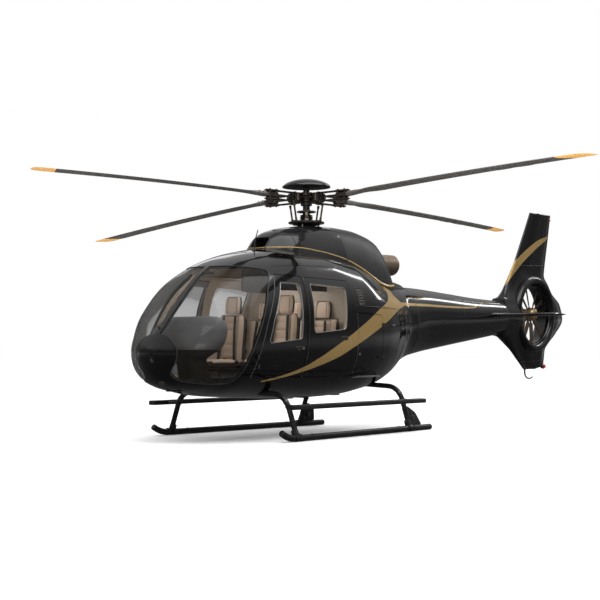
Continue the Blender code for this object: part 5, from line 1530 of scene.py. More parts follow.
class HELICOPTER_OT_rotor(bpy.types.Operator):
    """Four main blades with yellow tips, root cuffs and trim tabs"""
    bl_idname = "helicopter.rotor_blades"
    bl_label = "Rotor blades"

    def execute(self, context):
        for number in range(4):
            out, across = spoke(number)
            rise = out.xy.dot(DISC_RISE) / (ROTOR_RADIUS - BLADE_ROOT)
            shape = Shape()

            def level(r):
                return BLADE_Z + rise * (r - BLADE_ROOT) - BLADE_DROOP * (r / ROTOR_RADIUS) ** 2

            def ring(radius, chord, thick, slant=0.0, sweep=0.0, pitch=0.0):
                points = []
                for along, up in airfoil(chord, thick, 14):
                    share = along / chord - 0.5
                    r = radius + slant * share
                    points.append(out * r - across * (chord / 2 - along - sweep)
                                  + raised(level(r) + up - (along - chord / 2) * pitch))
                return points

            full = 0.288
            roots = [(0.805, 0.10, 0.80, 0.0), (0.90, 0.10, 0.74, 0.01), (0.98, 0.115, 0.58, 0.02),
                     (1.06, 0.155, 0.36, 0.035), (1.15, 0.225, 0.20, 0.05), (1.23, 0.268, 0.145, 0.055),
                     (1.32, full, 0.120, 0.055)]
            rings = [ring(r, c, t, 0, 0, p) for r, c, t, p in roots]
            rings += [ring(r, full, 0.106 - 0.008 * (r - 1.6), 0, 0,
                           0.05 * (4.3 - r) / 3) for r in np.linspace(1.6, 4.2, 14)]
            rings.append(ring(4.30, full, 0.078, 0.17))
            shape.loft(rings)
            tips = [ring(4.303, full, 0.0775, 0.17), ring(4.46, full, 0.072, 0.06),
                    ring(4.55, full * 0.95, 0.066, 0.03, 0.006),
                    ring(4.61, full * 0.78, 0.062, 0.02, 0.030), ring(4.645, full * 0.52, 0.055, 0.01, 0.062),
                    ring(4.662, full * 0.26, 0.05, 0, 0.095), ring(4.667, full * 0.06, 0.05, 0, 0.122)]
            shape.loft(tips, 1)
            for radius in (3.30, 3.62):
                shape.bar(out * (radius - 0.10) + across * 0.138 + raised(level(radius - 0.10) - 0.004),
                          out * (radius + 0.10) + across * 0.138 + raised(level(radius + 0.10) - 0.004),
                          0.024, 0.003, 0, 0.001)
            strip = [out * r - across * 0.1435 + raised(level(r)) for r in np.linspace(1.33, 4.25, 24)]
            shape.tube(strip, 0.0018, 6, 2)
            for radius in (0.86, 0.94):
                for way in (-0.022, 0.022):
                    shape.bolt(out * radius + across * way + raised(level(radius) + 0.030), (0, 0, 1), 0.009,
                               0.008, 2)
            build(f"main_blade_{number + 1}", shape, MAIN_ROTOR,
                  ("blade_paint", "tip_paint", "bright_metal_and_seal_highlight"), f"rotor_blade_{number + 1}", angle=38)
        return {"FINISHED"}


class HELICOPTER_OT_hub(bpy.types.Operator):
    """Rotor hub with its arms, grips and bolts, the cap, mast, swashplates and pitch links"""
    bl_idname = "helicopter.hub"
    bl_label = "Rotor hub and mast"

    def arm(self, shape, out, across):
        """One flexible arm pair, its root block, damper, grip, bolts and pitch horn."""
        centre = raised(HUB_Z)
        for height in (0.052, 0.0, -0.052):
            begin, end = (0.13 if height else 0.05), 0.74
            rings = []
            for share in np.linspace(0, 1, 13):
                r = begin + (end - begin) * share
                wide = 0.0425 - 0.012 * math.sin(math.pi * share)
                z = height * (1 + 0.10 * math.sin(math.pi * share))
                thick = 0.013 - 0.002 * math.sin(math.pi * share)
                rings.append([centre + out * r + across * (wide * a) + raised(z + thick * b)
                              for a, b in ARM_SECTION])
            shape.loft(rings)
        shape.bar(centre + out * 0.168, centre + out * 0.236, 0.124, 0.122, 1, 0.014)
        shape.bar(centre + out * 0.245, centre + out * 0.262, 0.100, 0.150, 2, 0.006)
        for z in (0.026, -0.026):
            spot = centre + out * 0.31 + raised(z)
            shape.tube([spot - across * 0.045, spot - across * 0.043, spot + across * 0.043,
                        spot + across * 0.045],
                       [0.012, 0.016, 0.016, 0.012], 16, 2)
        shape.bar(centre + out * 0.575, centre + out * 0.80, 0.088, 0.092, 0, 0.022)
        shape.tube([centre + out * 0.19 - across * 0.19, centre + out * 0.19 + across * 0.19], 0.014, 12, 0)
        for height in (0.058, -0.058):
            rise = raised(height)
            rings = []
            for r, wide, thick in ((0.562, 0.030, 0.009), (0.575, 0.044, 0.012), (0.61, 0.052, 0.012),
                                   (0.72, 0.052, 0.012), (0.77, 0.046, 0.011), (0.798, 0.034, 0.009)):
                rings.append([centre + rise + out * r + across * (wide * a) + raised(thick * b)
                              for a, b in ARM_SECTION])
            shape.loft(rings)
        for r in (0.63, 0.75):
            for way in (-0.031, 0.031):
                spot = centre + out * r + across * way
                shape.tube([spot - raised(0.070), spot + raised(0.070)], 0.010, 12, 1)
                shape.bolt(spot + raised(0.070), (0, 0, 1), 0.0125, 0.010, 0)
                shape.bolt(spot - raised(0.070), (0, 0, -1), 0.0125, 0.010, 0)
        rise = raised(3.222)
        shape.bar(out * 0.215 + rise, out * 0.312 + rise, 0.048, 0.026, 0, 0.006)
        shape.bolt(out * 0.285 + across * 0.024 + rise, across, 0.009, 0.010, 3)
        shape.bolt(out * 0.285 - across * 0.024 + rise, -across, 0.009, 0.010, 3)
        for way in (-1, 1):
            shape.bolt(centre + out * 0.115 + across * 0.035 * way + raised(0.066), (0, 0, 1), 0.011, 0.012,
                       3)

    def execute(self, context):
        self.hub()
        self.cap()
        self.mast()
        self.turning_plate()
        self.fixed_plate()
        return {"FINISHED"}

    def hub(self):
        """The hub with its arms."""
        shape = Shape()
        top = CAP_Z
        shape.lathe(((0.030, top), (0.045, top - 0.001), (0.045, HUB_Z + 0.082), (0.052, HUB_Z + 0.076),
                     (0.138, HUB_Z + 0.068), (0.145, HUB_Z + 0.062), (0.145, HUB_Z + 0.034),
                     (0.138, HUB_Z + 0.028), (0.112, HUB_Z + 0.024), (0.110, HUB_Z - 0.052),
                     (0.104, HUB_Z - 0.059), (0.02, HUB_Z - 0.060)),
                    steps=64)
        shape.bolt_circle(12, 0.085, HUB_Z + 0.0715, 0.008, 0.009, 3)
        for number in range(4):
            self.arm(shape, *spoke(number))
        build("hub_assembly", shape, MAIN_ROTOR,
              ("dark_metal", "bronze_metal", "rubber_seal", "bright_metal_and_seal_highlight"), "rotor_hub")

    def cap(self):
        """The domed cap with its bolts."""
        shape = Shape()
        dome = [(0.0025, 0.130)] + [(0.34 * math.sin(a) ** 0.92, 0.018 + 0.112 * math.cos(a) ** 1.25)
                                    for a in np.linspace(0.06, math.pi / 2 - 0.02, 26)]
        dome += [(0.340, 0.013), (0.338, 0.008)]
        shape.lathe([(r, CAP_Z + z) for r, z in dome], steps=96, ring=True)
        shape.lathe([(r, CAP_Z + z)
                     for r, z in ((0.338, 0.008), (0.330, 0.0065), (0.205, 0.0005), (0.03, 0.0005))],
                    steps=96, look=2, ring=True)
        for k in range(8):
            angle = TURN * (k + 0.5) / 8
            shape.bolt((0.326 * math.cos(angle), 0.326 * math.sin(angle), CAP_Z + 0.032),
                       (math.cos(angle), math.sin(angle), 1.2), 0.006, 0.003, 1)
        shape.lathe([(0.010, CAP_Z + 0.129), (0.022, CAP_Z + 0.1295), (0.024, CAP_Z + 0.1275)], steps=24,
                    look=1)
        build("hub_cap_dome", shape, MAIN_ROTOR, ("gloss_paint", "dark_metal", "dark_trim"),
              "rotor_cap", angle=40)

    def mast(self):
        """The mast and its boot."""
        shape = Shape()
        shape.lathe(((0.070, HUB_Z - 0.0605), (0.080, HUB_Z - 0.064), (0.080, 3.184), (0.076, 3.178),
                     (0.050, 3.170), (0.050, 3.106), (0.124, 3.102), (0.134, 3.098), (0.138, 3.090),
                     (0.134, 3.083), (0.124, 3.079), (0.052, 3.075), (0.050, 3.055), (0.02, 3.055)), steps=64)
        boot = [(0.050, 3.056)]
        for fold in range(4):
            z = 3.050 - 0.0165 * fold
            boot += [(0.066 + 0.005 * fold, z), (0.090 + 0.002 * fold, z - 0.006),
                     (0.092 + 0.002 * fold, z - 0.009), (0.067 + 0.005 * fold, z - 0.015)]
        shape.lathe(boot + [(0.060, 2.984), (0.02, 2.984)], steps=64, look=1)
        shape.lathe(((0.03, 2.985), (0.050, 2.984), (0.050, 2.7205), (0.03, 2.7205)), steps=48)
        shape.bolt_circle(16, 0.110, 3.1025, 0.006, 0.007, 2)
        build("mast_and_boot", shape, MAIN_ROTOR, ("dark_metal", "rubber_seal", "bright_metal_and_seal_highlight"),
              "rotor_mast")

    def turning_plate(self):
        """The turning swashplate with its links."""
        shape = Shape()
        z = SWASH_Z
        shape.lathe(((0.0505, z + 0.034), (0.100, z + 0.035), (0.108, z + 0.031), (0.200, z + 0.020),
                     (0.244, z + 0.012), (0.253, z + 0.006), (0.255, z - 0.004), (0.253, z - 0.013),
                     (0.246, z - 0.018), (0.0505, z - 0.018)), steps=72, ring=True)
        for number in range(4):
            out, across = spoke(number)
            shape.bar(out * 0.20 + raised(z + 0.004), out * 0.274 + raised(z + 0.004), 0.048, 0.034, 0, 0.007)
            foot = out * 0.237 + across * 0.035 + raised(2.958)
            top = out * 0.285 + across * 0.035 + raised(3.199)
            path = [foot.lerp(top, share) for share in (0, 0.10, 0.12, 0.16, 0.18, 0.5, 0.82, 0.84, 0.88,
                                                        0.90, 1.0)]
            shape.tube(path, (0.014, 0.014, 0.018, 0.018, 0.013, 0.0135, 0.013, 0.018, 0.018, 0.014, 0.014),
                       14, 1)
            for end, radius in ((foot, 0.0175), (top - (top - foot).normalized() * 0.014, 0.0165)):
                shape.tube([end - across * 0.013, end - across * 0.011, end + across * 0.011,
                            end + across * 0.013],
                           (radius * 0.8, radius, radius, radius * 0.8), 16, 1)
            side_way = (out + across).normalized()
            shape.bolt(side_way * 0.20 + raised(z + 0.019), (0, 0, 1), 0.010, 0.010, 2)
        drive_out, drive_across = (Vector((math.cos(a), math.sin(a), 0))
                                   for a in (math.radians(39.5), math.radians(129.5)))
        for way in (-1, 1):
            joint = drive_out * 0.205 * way
            shape.bar(drive_out * way * 0.205 + raised(2.972),
                      drive_out * way * 0.150 + raised(3.030), 0.044, 0.014, 1)
            shape.bar(drive_out * way * 0.150 + raised(3.026),
                      drive_out * way * 0.124 + raised(3.079), 0.036, 0.014, 1)
            shape.tube([joint + raised(2.968) - drive_across * 0.024,
                        joint + raised(2.968) + drive_across * 0.024],
                       0.009, 12, 2)
        build("turning_swashplate", shape, MAIN_ROTOR,
              ("dark_metal", "bronze_metal", "bright_metal_and_seal_highlight"), "swashplate_turning")

    def fixed_plate(self):
        """The fixed swashplate."""
        shape, z = Shape(), SWASH_Z
        shape.lathe(((0.070, z - 0.026), (0.190, z - 0.0262), (0.194, z - 0.030), (0.190, z - 0.037),
                     (0.130, z - 0.040), (0.112, z - 0.050), (0.106, 2.86), (0.104, 2.80), (0.100, 2.7205),
                     (0.070, 2.7205)), steps=64, ring=True)
        for degrees in (20, 140, 260):
            out = Vector((math.cos(math.radians(degrees)), math.sin(math.radians(degrees)), 0))
            shape.tube([out * 0.175 + raised(z - 0.036), out * 0.18 + raised(2.80)], 0.011, 12, 1)
            shape.tube([out * 0.18 + raised(2.80), out * 0.182 + raised(2.74)], 0.017, 16, 0)
        flange = [(0.105, 2.915), (0.150, 2.913), (0.152, 2.905), (0.106, 2.900)]
        shape.lathe(flange, steps=48, ring=True)
        build("fixed_swashplate", shape, AIRFRAME, ("dark_metal", "bright_metal_and_seal_highlight"),
              "swashplate_fixed")


def track(x):
    """Half the distance between the skids at x: they close in a little towards the rear."""
    return REAR_TRACK + (FRONT_TRACK - REAR_TRACK) * (x - REAR_STRUT) / (FRONT_STRUT - REAR_STRUT)


STRUT_BENDS = {FRONT_STRUT: (0.585, 0.905), REAR_STRUT: (0.625, 0.810)}   # belly height, bend's y


def strut_half(x):
    """Half a cross tube's centre line, as (y, z) from the skid to the middle."""
    belly, bend_y = STRUT_BENDS[x]
    foot, bend, middle = (np.array(p) for p in ((track(x), TUBE), (bend_y, belly), (0, belly + 0.04)))
    first, second = (unit(foot - bend), unit(middle - bend))
    half = math.acos(first @ second) / 2
    reach = 0.26 / math.tan(half)
    begin, end = bend + first * reach, bend + second * reach
    arc = [(1 - t) ** 2 * begin + 2 * t * (1 - t) * (bend + (bend - (begin + end) / 2) * -0.12) + t * t * end
           for t in np.linspace(0, 1, 15)]
    return [foot, *(foot + (begin - foot) * s for s in (0.3, 0.6)), *arc, end + (middle - end) * 0.5, middle]


def leg_y(x, z):
    half = strut_half(x)
    return float(np.interp(z, [p[1] for p in half[:10]], [p[0] for p in half[:10]]))


class HELICOPTER_OT_skids(bpy.types.Operator):
    """Skid tubes, cross tubes with their clamps and plates, and the boarding steps"""
    bl_idname = "helicopter.skids"
    bl_label = "Skids and steps"

    def execute(self, context):
        self.tubes()
        self.cross_tubes()
        self.treads()
        return {"FINISHED"}

    def tubes(self):
        """Both skid tubes."""
        for word, side in SIDES:
            shape = Shape()
            run = [(x, TUBE) for x in np.linspace(SKID_REAR, SKID_FRONT, 24)]
            run += [(SKID_FRONT + TOE_RADIUS * math.sin(a), TUBE + TOE_RADIUS * (1 - math.cos(a)))
                    for a in np.linspace(0, TOE_TURN, 13)[1:]]
            path = [(x, track(x), z) for x, z in run]
            way_in = np.array(path[1]) - np.array(path[0])
            way_out = np.array(path[-1]) - np.array(path[-2])
            way_in, way_out = way_in / np.linalg.norm(way_in), way_out / np.linalg.norm(way_out)
            begin = [np.array(path[0]) + way_in * e for e in (0, 0.004, 0.014)]
            finish = [np.array(path[-1]) - way_out * e for e in (0.014, 0.004, 0)]
            path = begin + [np.array(p) for p in path[1:-1]] + finish
            radii = [0.030, 0.038, TUBE] + [TUBE] * (len(path) - 6) + [TUBE, 0.038, 0.030]
            shape.tube(path, radii, 28)
            for x0, x1 in ((-1.56, -1.24), (-0.66, -0.28), (0.30, 0.75), (1.18, 1.42)):
                rings = []
                for x in (x0, x0 + 0.02, x1 - 0.02, x1):
                    y = track(x)
                    low = 0.006 if x in (x0, x1) else 0.0
                    rings.append([(x, y + 0.043 * math.sin(a), max(TUBE - 0.0425 * math.cos(a), 0.0))
                                  for a in np.linspace(-1.15, 1.15, 11)]
                                 + [(x, y + 0.034 * math.sin(a), TUBE - 0.036 * math.cos(a) + low)
                                    for a in np.linspace(1.1, -1.1, 7)])
                shape.loft(rings, 1)
            for x in (FRONT_STRUT - 0.32, REAR_STRUT + 0.30):
                ring = [(x, track(x) + 0.0435 * math.sin(a), max(TUBE + 0.0435 * math.cos(a), 0.004))
                        for a in full_turn(32)]
                shape.tube(ring, 0.0035, 6, 1, closed=True)
            build(f"skid_tube_{word}", shape.on_side(side), AIRFRAME,
                  ("skid_paint", "dark_metal"), f"skid_{word}")

    def cross_tubes(self):
        """Both cross tubes with their clamps."""
        for name, x in (("front", FRONT_STRUT), ("rear", REAR_STRUT)):
            shape = Shape()
            half = strut_half(x)
            path = [(x, -p[0], p[1]) for p in half[:-1]] + [(x, p[0], p[1]) for p in reversed(half)]
            shape.tube(path, LEG, 28)
            belly, bend_y = STRUT_BENDS[x]
            made = Shape()
            foot = Vector((x, track(x), 0))
            way = Vector((x, bend_y, belly)) - foot
            sleeve = [foot + way * s for s in (0.085, 0.12, 0.14, 0.24, 0.25, 0.255)]
            made.tube(sleeve, (0.050, 0.050, 0.048, 0.047, 0.043, 0.037), 28)
            for share in (0.15, 0.22):
                spot = foot + way * share
                made.bolt(spot + Vector((0.046, 0, 0)), (1, 0, 0), 0.009, 0.008, 1)
                made.bolt(spot - Vector((0.046, 0, 0)), (-1, 0, 0), 0.009, 0.008, 1)
            rings = []
            for dx, grow in ((-0.078, -0.004), (-0.072, 0.002), (-0.045, 0.004), (0.0, 0.010), (0.045, 0.004),
                             (0.072, 0.002), (0.078, -0.004)):
                y = track(x + dx)
                rings.append([(x + dx, y + (0.047 + grow) * math.sin(a),
                               max(TUBE + (0.047 + grow) * math.cos(a), 0.004))
                              for a in full_turn(40)])
            made.loft(rings)
            for dx in (-0.058, 0.058):
                for dy in (-0.030, 0.030):
                    y = track(x + dx)
                    made.bolt((x + dx, y + dy, TUBE + 0.038), (0, dy * 0.8, 0.04), 0.010, 0.010, 1)
                made.tube([(x + dx, track(x + dx) + 0.0545 * math.sin(a),
                            max(TUBE + 0.0545 * math.cos(a), 0.0042))
                           for a in np.linspace(-2.5, 2.5, 31)], 0.004, 6, 1)
            if x == REAR_STRUT:
                outline = rounded(((0.045, 0.345, 0.03), (-0.08, 0.350, 0.06), (-0.235, 0.262, 0.10),
                                   (-0.305, 0.105, 0.03), (-0.295, 0.066, 0.015), (0.03, 0.060, 0.01)), 0.01)
                slope = (track(x) - bend_y) / belly
                rings = []
                for dy, shrink in ((-0.015, 0.97), (-0.011, 1.0), (0.011, 1.0), (0.015, 0.97)):
                    middle = np.array((-0.12, 0.20))
                    rings.append([(x + a, track(x) + dy - slope * b, b)
                                  for a, b in (middle + (outline - middle) * shrink)])
                made.loft(rings)
                for a, b in ((-0.05, 0.29), (-0.14, 0.26), (-0.24, 0.12), (-0.09, 0.10)):
                    made.bolt((x + a, track(x) + 0.015 - slope * b, b), (0, 1, slope), 0.011, 0.007, 1)
                hub_line = Vector((x - 0.13, track(x) - slope * 0.185, 0.185))
                made.tube([hub_line + Vector((0, s, 0)) for s in (-0.030, -0.026, 0.026, 0.030)],
                          (0.040, 0.045, 0.045, 0.040), 28, 1)
            if x == FRONT_STRUT:
                made.tube([foot + way * 0.56 + Vector((0.04, 0.01, 0)),
                           foot + way * 0.62 + Vector((0.04, 0.01, 0))],
                          0.006, 8, 1)
            shape.take(made).take(made.flipped())
            for side in (1, -1):
                collar = [(x, side * (leg_y(x, belly - 0.10) - 0.02 * k),
                           belly - 0.10 + 0.02 * k) for k in range(2)]
                shape.tube(collar, 0.0395, 20, 1)
            build(f"cross_tube_assembly_{name}", shape, AIRFRAME, ("skid_paint", "dark_metal"),
                  f"cross_tube_{name}")

    def treads(self):
        """Both boarding steps."""
        for word, side in SIDES:
            shape = Shape()
            section = rounded(((-0.065, -0.031, 0.016), (0.065, -0.031, 0.016), (0.065, 0.031, 0.018),
                               (-0.065, 0.031, 0.018)), 0.006)
            rings = []
            for x, shrink in ((STEP_REAR, 0.80), (STEP_REAR + 0.006, 0.95), (STEP_REAR + 0.016, 1.0),
                              (0.3, 1.0), (STEP_FRONT - 0.016, 1.0), (STEP_FRONT - 0.006, 0.95),
                              (STEP_FRONT, 0.80)):
                rings.append([(x, STEP_Y + a * shrink, STEP_Z + b * shrink) for a, b in section])
            shape.loft(rings)
            for x0, x1 in ((-0.95, -0.10), (0.15, 0.95), (1.05, 1.50)):
                shape.block((x0, STEP_Y - 0.045, STEP_Z + 0.0295), (x1, STEP_Y + 0.045, STEP_Z + 0.0320),
                            0.001, 1)
            for x in (FRONT_STRUT, REAR_STRUT):
                inner = leg_y(x, STEP_Z)
                shape.bar((x, inner + LEG - 0.004, STEP_Z), (x, STEP_Y - 0.05, STEP_Z), 0.048, 0.028, 0,
                          0.008)
                around = [(x + 0.0405 * math.sin(a), inner + 0.0405 * math.cos(a),
                           STEP_Z + 0.10 * 0.0405 * math.cos(a))
                          for a in full_turn(28)]
                for lift in (-0.014, 0.014):
                    shape.tube([(a, b, c + lift) for a, b, c in around], 0.0065, 8, 0, closed=True)
                for dx in (-0.014, 0.014):
                    shape.bolt((x + dx, inner + LEG + 0.018, STEP_Z + 0.014), (0, 0, 1), 0.007, 0.006, 2)
            build(f"boarding_tread_{word}", shape.on_side(side), AIRFRAME,
                  ("skid_paint", "rubber_seal", "dark_metal"), f"boarding_step_{word}")


def ridge(value, places, width):
    """1 on each of some places, falling off within a width."""
    return sum(np.exp(-((value - place) / width) ** 2) for place in places)


def cushion(shape, half, length, thick, put, places=1, channels=(), taper=None, centre=0.60, look=0):
    """A stuffed pad: crowned, drawn in between its corners, with rolled bolsters, sewn channels and piping.

    It lies from 0 to its length along t, and put(s, t, depth) gives the place of a point."""
    columns, rows = 24 * places + 25, 61
    s = np.sin(np.linspace(-math.pi / 2, math.pi / 2, columns))
    s = np.sign(s) * np.abs(s) ** 0.9
    t = (1 - np.cos(np.linspace(0, math.pi, rows))) / 2
    sg, tg = np.meshgrid(s, t, indexing="ij")
    local = ((sg + 1) / 2 * places) % 1 * 2 - 1 if places > 1 else sg
    width = np.ones_like(tg) if taper is None else np.interp(tg, *taper)
    width = width * (1 - 0.018 * np.sin(math.pi * tg))
    along = 0.5 + (tg - 0.5) * (1 - 0.012 * (1 - sg ** 2))
    edge = (1 - np.abs(sg) ** 9) ** 0.40 * (1 - np.abs(2 * tg - 1) ** 12) ** 0.40
    middle = np.clip((centre - np.abs(local)) / 0.03, 0, 1)
    past_centre, to_edge = (np.abs(local) - centre) / 0.10, (1.0 - np.abs(local)) / 0.12
    roll = 0.020 * np.clip(past_centre, 0, 1) * np.clip(to_edge, 0.15, 1)
    across_seam, channel_seam = ridge(np.abs(local), (centre,), 0.016), ridge(tg * length, channels, 0.006)
    seams = 0.010 * across_seam + 0.0075 * channel_seam * middle
    if places > 1:
        seams = seams + 0.016 * ridge(np.abs(local), (1.0,), 0.02)
    puff = 0.0
    bounds = [0.0, *channels, length]
    for a, b in zip(bounds, bounds[1:]):
        part = np.clip((tg * length - a) / (b - a), 0, 1)
        puff = puff + 0.006 * np.sin(math.pi * part) * middle
    crown = 0.010 * (1 - sg ** 2) * (1 - (2 * tg - 1) ** 2)
    front = (thick / 2 - 0.026 + roll + crown + puff - seams) * edge
    back = -thick / 2 * edge * (0.92 + 0.08 * (1 - sg ** 2))
    x = sg * half * width
    upper = np.stack((x, along * length, front), -1)
    lower = np.stack((x, along * length, back), -1)
    total = columns * rows
    points = [put(*p) for p in upper.reshape(-1, 3)] + [put(*p) for p in lower.reshape(-1, 3)]
    faces, looks = [], []
    for i in range(columns - 1):
        for j in range(rows - 1):
            a, b, c, d = i * rows + j, (i + 1) * rows + j, (i + 1) * rows + j + 1, i * rows + j + 1
            faces += [(a, b, c, d), (d + total, c + total, b + total, a + total)]
            rim = max(abs(s[i]), abs(s[i + 1])) > 0.985 or t[j] < 0.012 or t[j + 1] > 0.988
            looks += [look + (1 if rim else 0), look + 1]
    border = [(i, 0) for i in range(columns)] + [(columns - 1, j) for j in range(1, rows)]
    border += [(i, rows - 1) for i in range(columns - 2, -1, -1)] + [(0, j) for j in range(rows - 2, 0, -1)]
    border = [i * rows + j for i, j in border]
    for a, b in zip(border, border[1:] + border[:1]):
        faces.append((b, a, a + total, b + total))
        looks.append(look + 1)
    start = shape.add(points, faces)
    shape.looks[-len(looks):] = looks
    shape.points[start:] = points

    def sewn(path, radius=0.0036):
        shape.tube([put(*p) for p in path], radius, 8, look + 1)

    def spot(a, b, lift=0.001):
        i = int(np.argmin(np.abs(s - a)))
        j = int(np.argmin(np.abs(t - b)))
        return upper[i, j, 0], upper[i, j, 1], upper[i, j, 2] + lift

    for place in range(places):
        for way in (-1, 1):
            a = ((place + (way * centre + 1) / 2) / places) * 2 - 1
            sewn([spot(a, b) for b in np.linspace(0.035, 0.965, 30)])
        low, high = (((place + (way * centre + 1) / 2) / places) * 2 - 1 for way in (-1, 1))
        sewn([spot(a, 0.965) for a in np.linspace(low, high, 12)])
        for channel in channels:
            sewn([spot(a, channel / length, 0.0005) for a in np.linspace(low, high, 12)], 0.0012)
    rim = [spot(a, 0.02, -0.004) for a in np.linspace(-0.97, 0.97, 20)]
    rim += [spot(0.985, b, -0.004) for b in np.linspace(0.03, 0.97, 30)]
    rim += [spot(a, 0.98, -0.004) for a in np.linspace(0.97, -0.97, 20)]
    rim += [spot(-0.985, b, -0.004) for b in np.linspace(0.97, 0.03, 30)]
    shape.tube([put(*p) for p in rim], 0.0042, 8, look + 1, closed=True)


def seat_set(word, y, half, base_half, back_x, cushion_x, base_x, heights, places):
    """One seat's pedestal and shell, its cushion, and its back with headrests and belts."""
    low, high, top = heights
    title = ("seat", f"_front_{word}") if word else ("rear_seat", "")
    body = "".join(title) if word else "rear_seat"
    shape = Shape()
    shape.block((base_x[0], y - base_half, FLOOR_Z), (base_x[1], y + base_half, low - 0.03), 0.012, 0)
    shape.block((base_x[0] + 0.02, y - half + 0.03, low - 0.035),
                (cushion_x[1] - 0.03, y + half - 0.03, low + 0.004), 0.010, 1)
    shell = half - 0.02
    lean = math.tan(SEAT_RAKE)
    rings = []
    for z, wide in ((0.83, 0.93), (0.88, 0.98), (1.10, 1.0), (1.40, 1.0), (1.54, 0.96), (1.58, 0.86)):
        x = back_x - lean * (z - SEAT_BACK_LOW) - 0.002
        rings.append([(x - 0.020, y - shell * wide, z), (x, y - shell * wide, z), (x, y, z),
                      (x, y + shell * wide, z), (x - 0.020, y + shell * wide, z), (x - 0.034, y, z)])
    shape.loft(rings, 1)
    if word:
        for dy in (-0.13, 0.13):
            shape.bar((1.02, y + dy, 0.728), (1.68, y + dy, 0.728), 0.035, 0.016, 2)
    build(body + "_pedestal", shape, AIRFRAME, ("grey_trim", "dark_trim", "dark_metal"),
          title[0] + "_base" + title[1])

    shape = Shape()
    length, thick = cushion_x[1] - cushion_x[0], high - low
    cushion(shape, half, length, thick, lambda a, b,
            c: (cushion_x[0] + b, y + a, (low + high) / 2 + c + 0.004),
            places, [length * k / 5 for k in (1, 2, 3, 4)])
    pad = build(body + "_cushion_pad", shape, AIRFRAME, ("tan_leather", "brown_leather"),
                title[0] + "_cushion" + title[1], turn=False, angle=60)

    shape = Shape()
    tall = top - 0.27 - SEAT_BACK_LOW

    def on_back(a, b, c):
        z = SEAT_BACK_LOW + b * math.cos(SEAT_RAKE)
        return back_x + 0.052 + c - lean * (z - SEAT_BACK_LOW), y + a, z

    cushion(shape, half, tall + 0.01, 0.105, on_back, places, [tall * k / 7 for k in range(1, 7)],
            ((0, 0.10, 0.75, 0.92, 1), (0.97, 1, 1, 0.94, 0.80)) if places == 1 else None)
    for place in range(places):
        middle = 0 if places == 1 else BENCH_PLACES[place]

        def on_head(a, b, c, middle=middle):
            return on_back(middle + a, tall + 0.012 + b, c - 0.004)

        cushion(shape, 0.135, 0.245, 0.095, on_head, 1, (), ((0, 0.2, 0.7, 1), (0.92, 1, 1, 0.80)), 0.66)
    pad = build(body + "_back_pad", shape, AIRFRAME, ("tan_leather", "brown_leather"),
                title[0] + "_back" + title[1], turn=False, angle=60)

    shape = Shape()
    for place in range(places):
        middle = 0 if places == 1 else BENCH_PLACES[place]
        for way in (-1, 1):
            strap = [on_back(middle + way * (0.10 + 0.05 * (1 - b)), b * tall,
                             0.058 + 0.012 * math.sin(math.pi * b))
                     for b in np.linspace(0.12, 0.985, 16)]
            rings = []
            for px, py, pz in strap:
                rings.append([(px, py - 0.021, pz), (px + 0.003, py - 0.021, pz),
                              (px + 0.003, py + 0.021, pz), (px, py + 0.021, pz)])
            shape.loft(rings, 0)
            lap = [on_back(middle + way * (half if places == 1 else 0.22) * s, 0.10 - 0.05 * s,
                           0.066 + 0.10 * (1 - s))
                   for s in np.linspace(1.0, 0.10, 10)]
            rings = [[(px, py, pz - 0.021), (px + 0.003, py, pz - 0.021), (px + 0.003, py, pz + 0.021),
                      (px, py, pz + 0.021)]
                     for px, py, pz in lap]
            shape.loft(rings, 0)
        px, py, pz = on_back(middle, 0.10, 0.160)
        shape.lathe(((0.030, px - 0.004), (0.032, px + 0.004), (0.028, px + 0.014), (0.010, px + 0.016)),
                    (0, py, pz), "X", 24, 1)
    build(body + "_belts", shape, AIRFRAME, ("webbing", "bright_metal_and_seal_highlight"))


class HELICOPTER_OT_seats(bpy.types.Operator):
    """Two front seats and the rear bench, with leather pads, piping and belts"""
    bl_idname = "helicopter.seats"
    bl_label = "Seats"

    def execute(self, context):
        for word, side in SIDES:
            seat_set(word, side * SEAT_Y, 0.24, 0.17, 1.075, (1.215, 1.70), (1.05, 1.62), (0.90, 1.03, 1.90),
                     1)
        seat_set("", 0, 0.78, 0.655, 0.315, (0.455, 0.88), (0.26, 0.66), (0.86, 0.99, 1.84), 3)
        return {"FINISHED"}


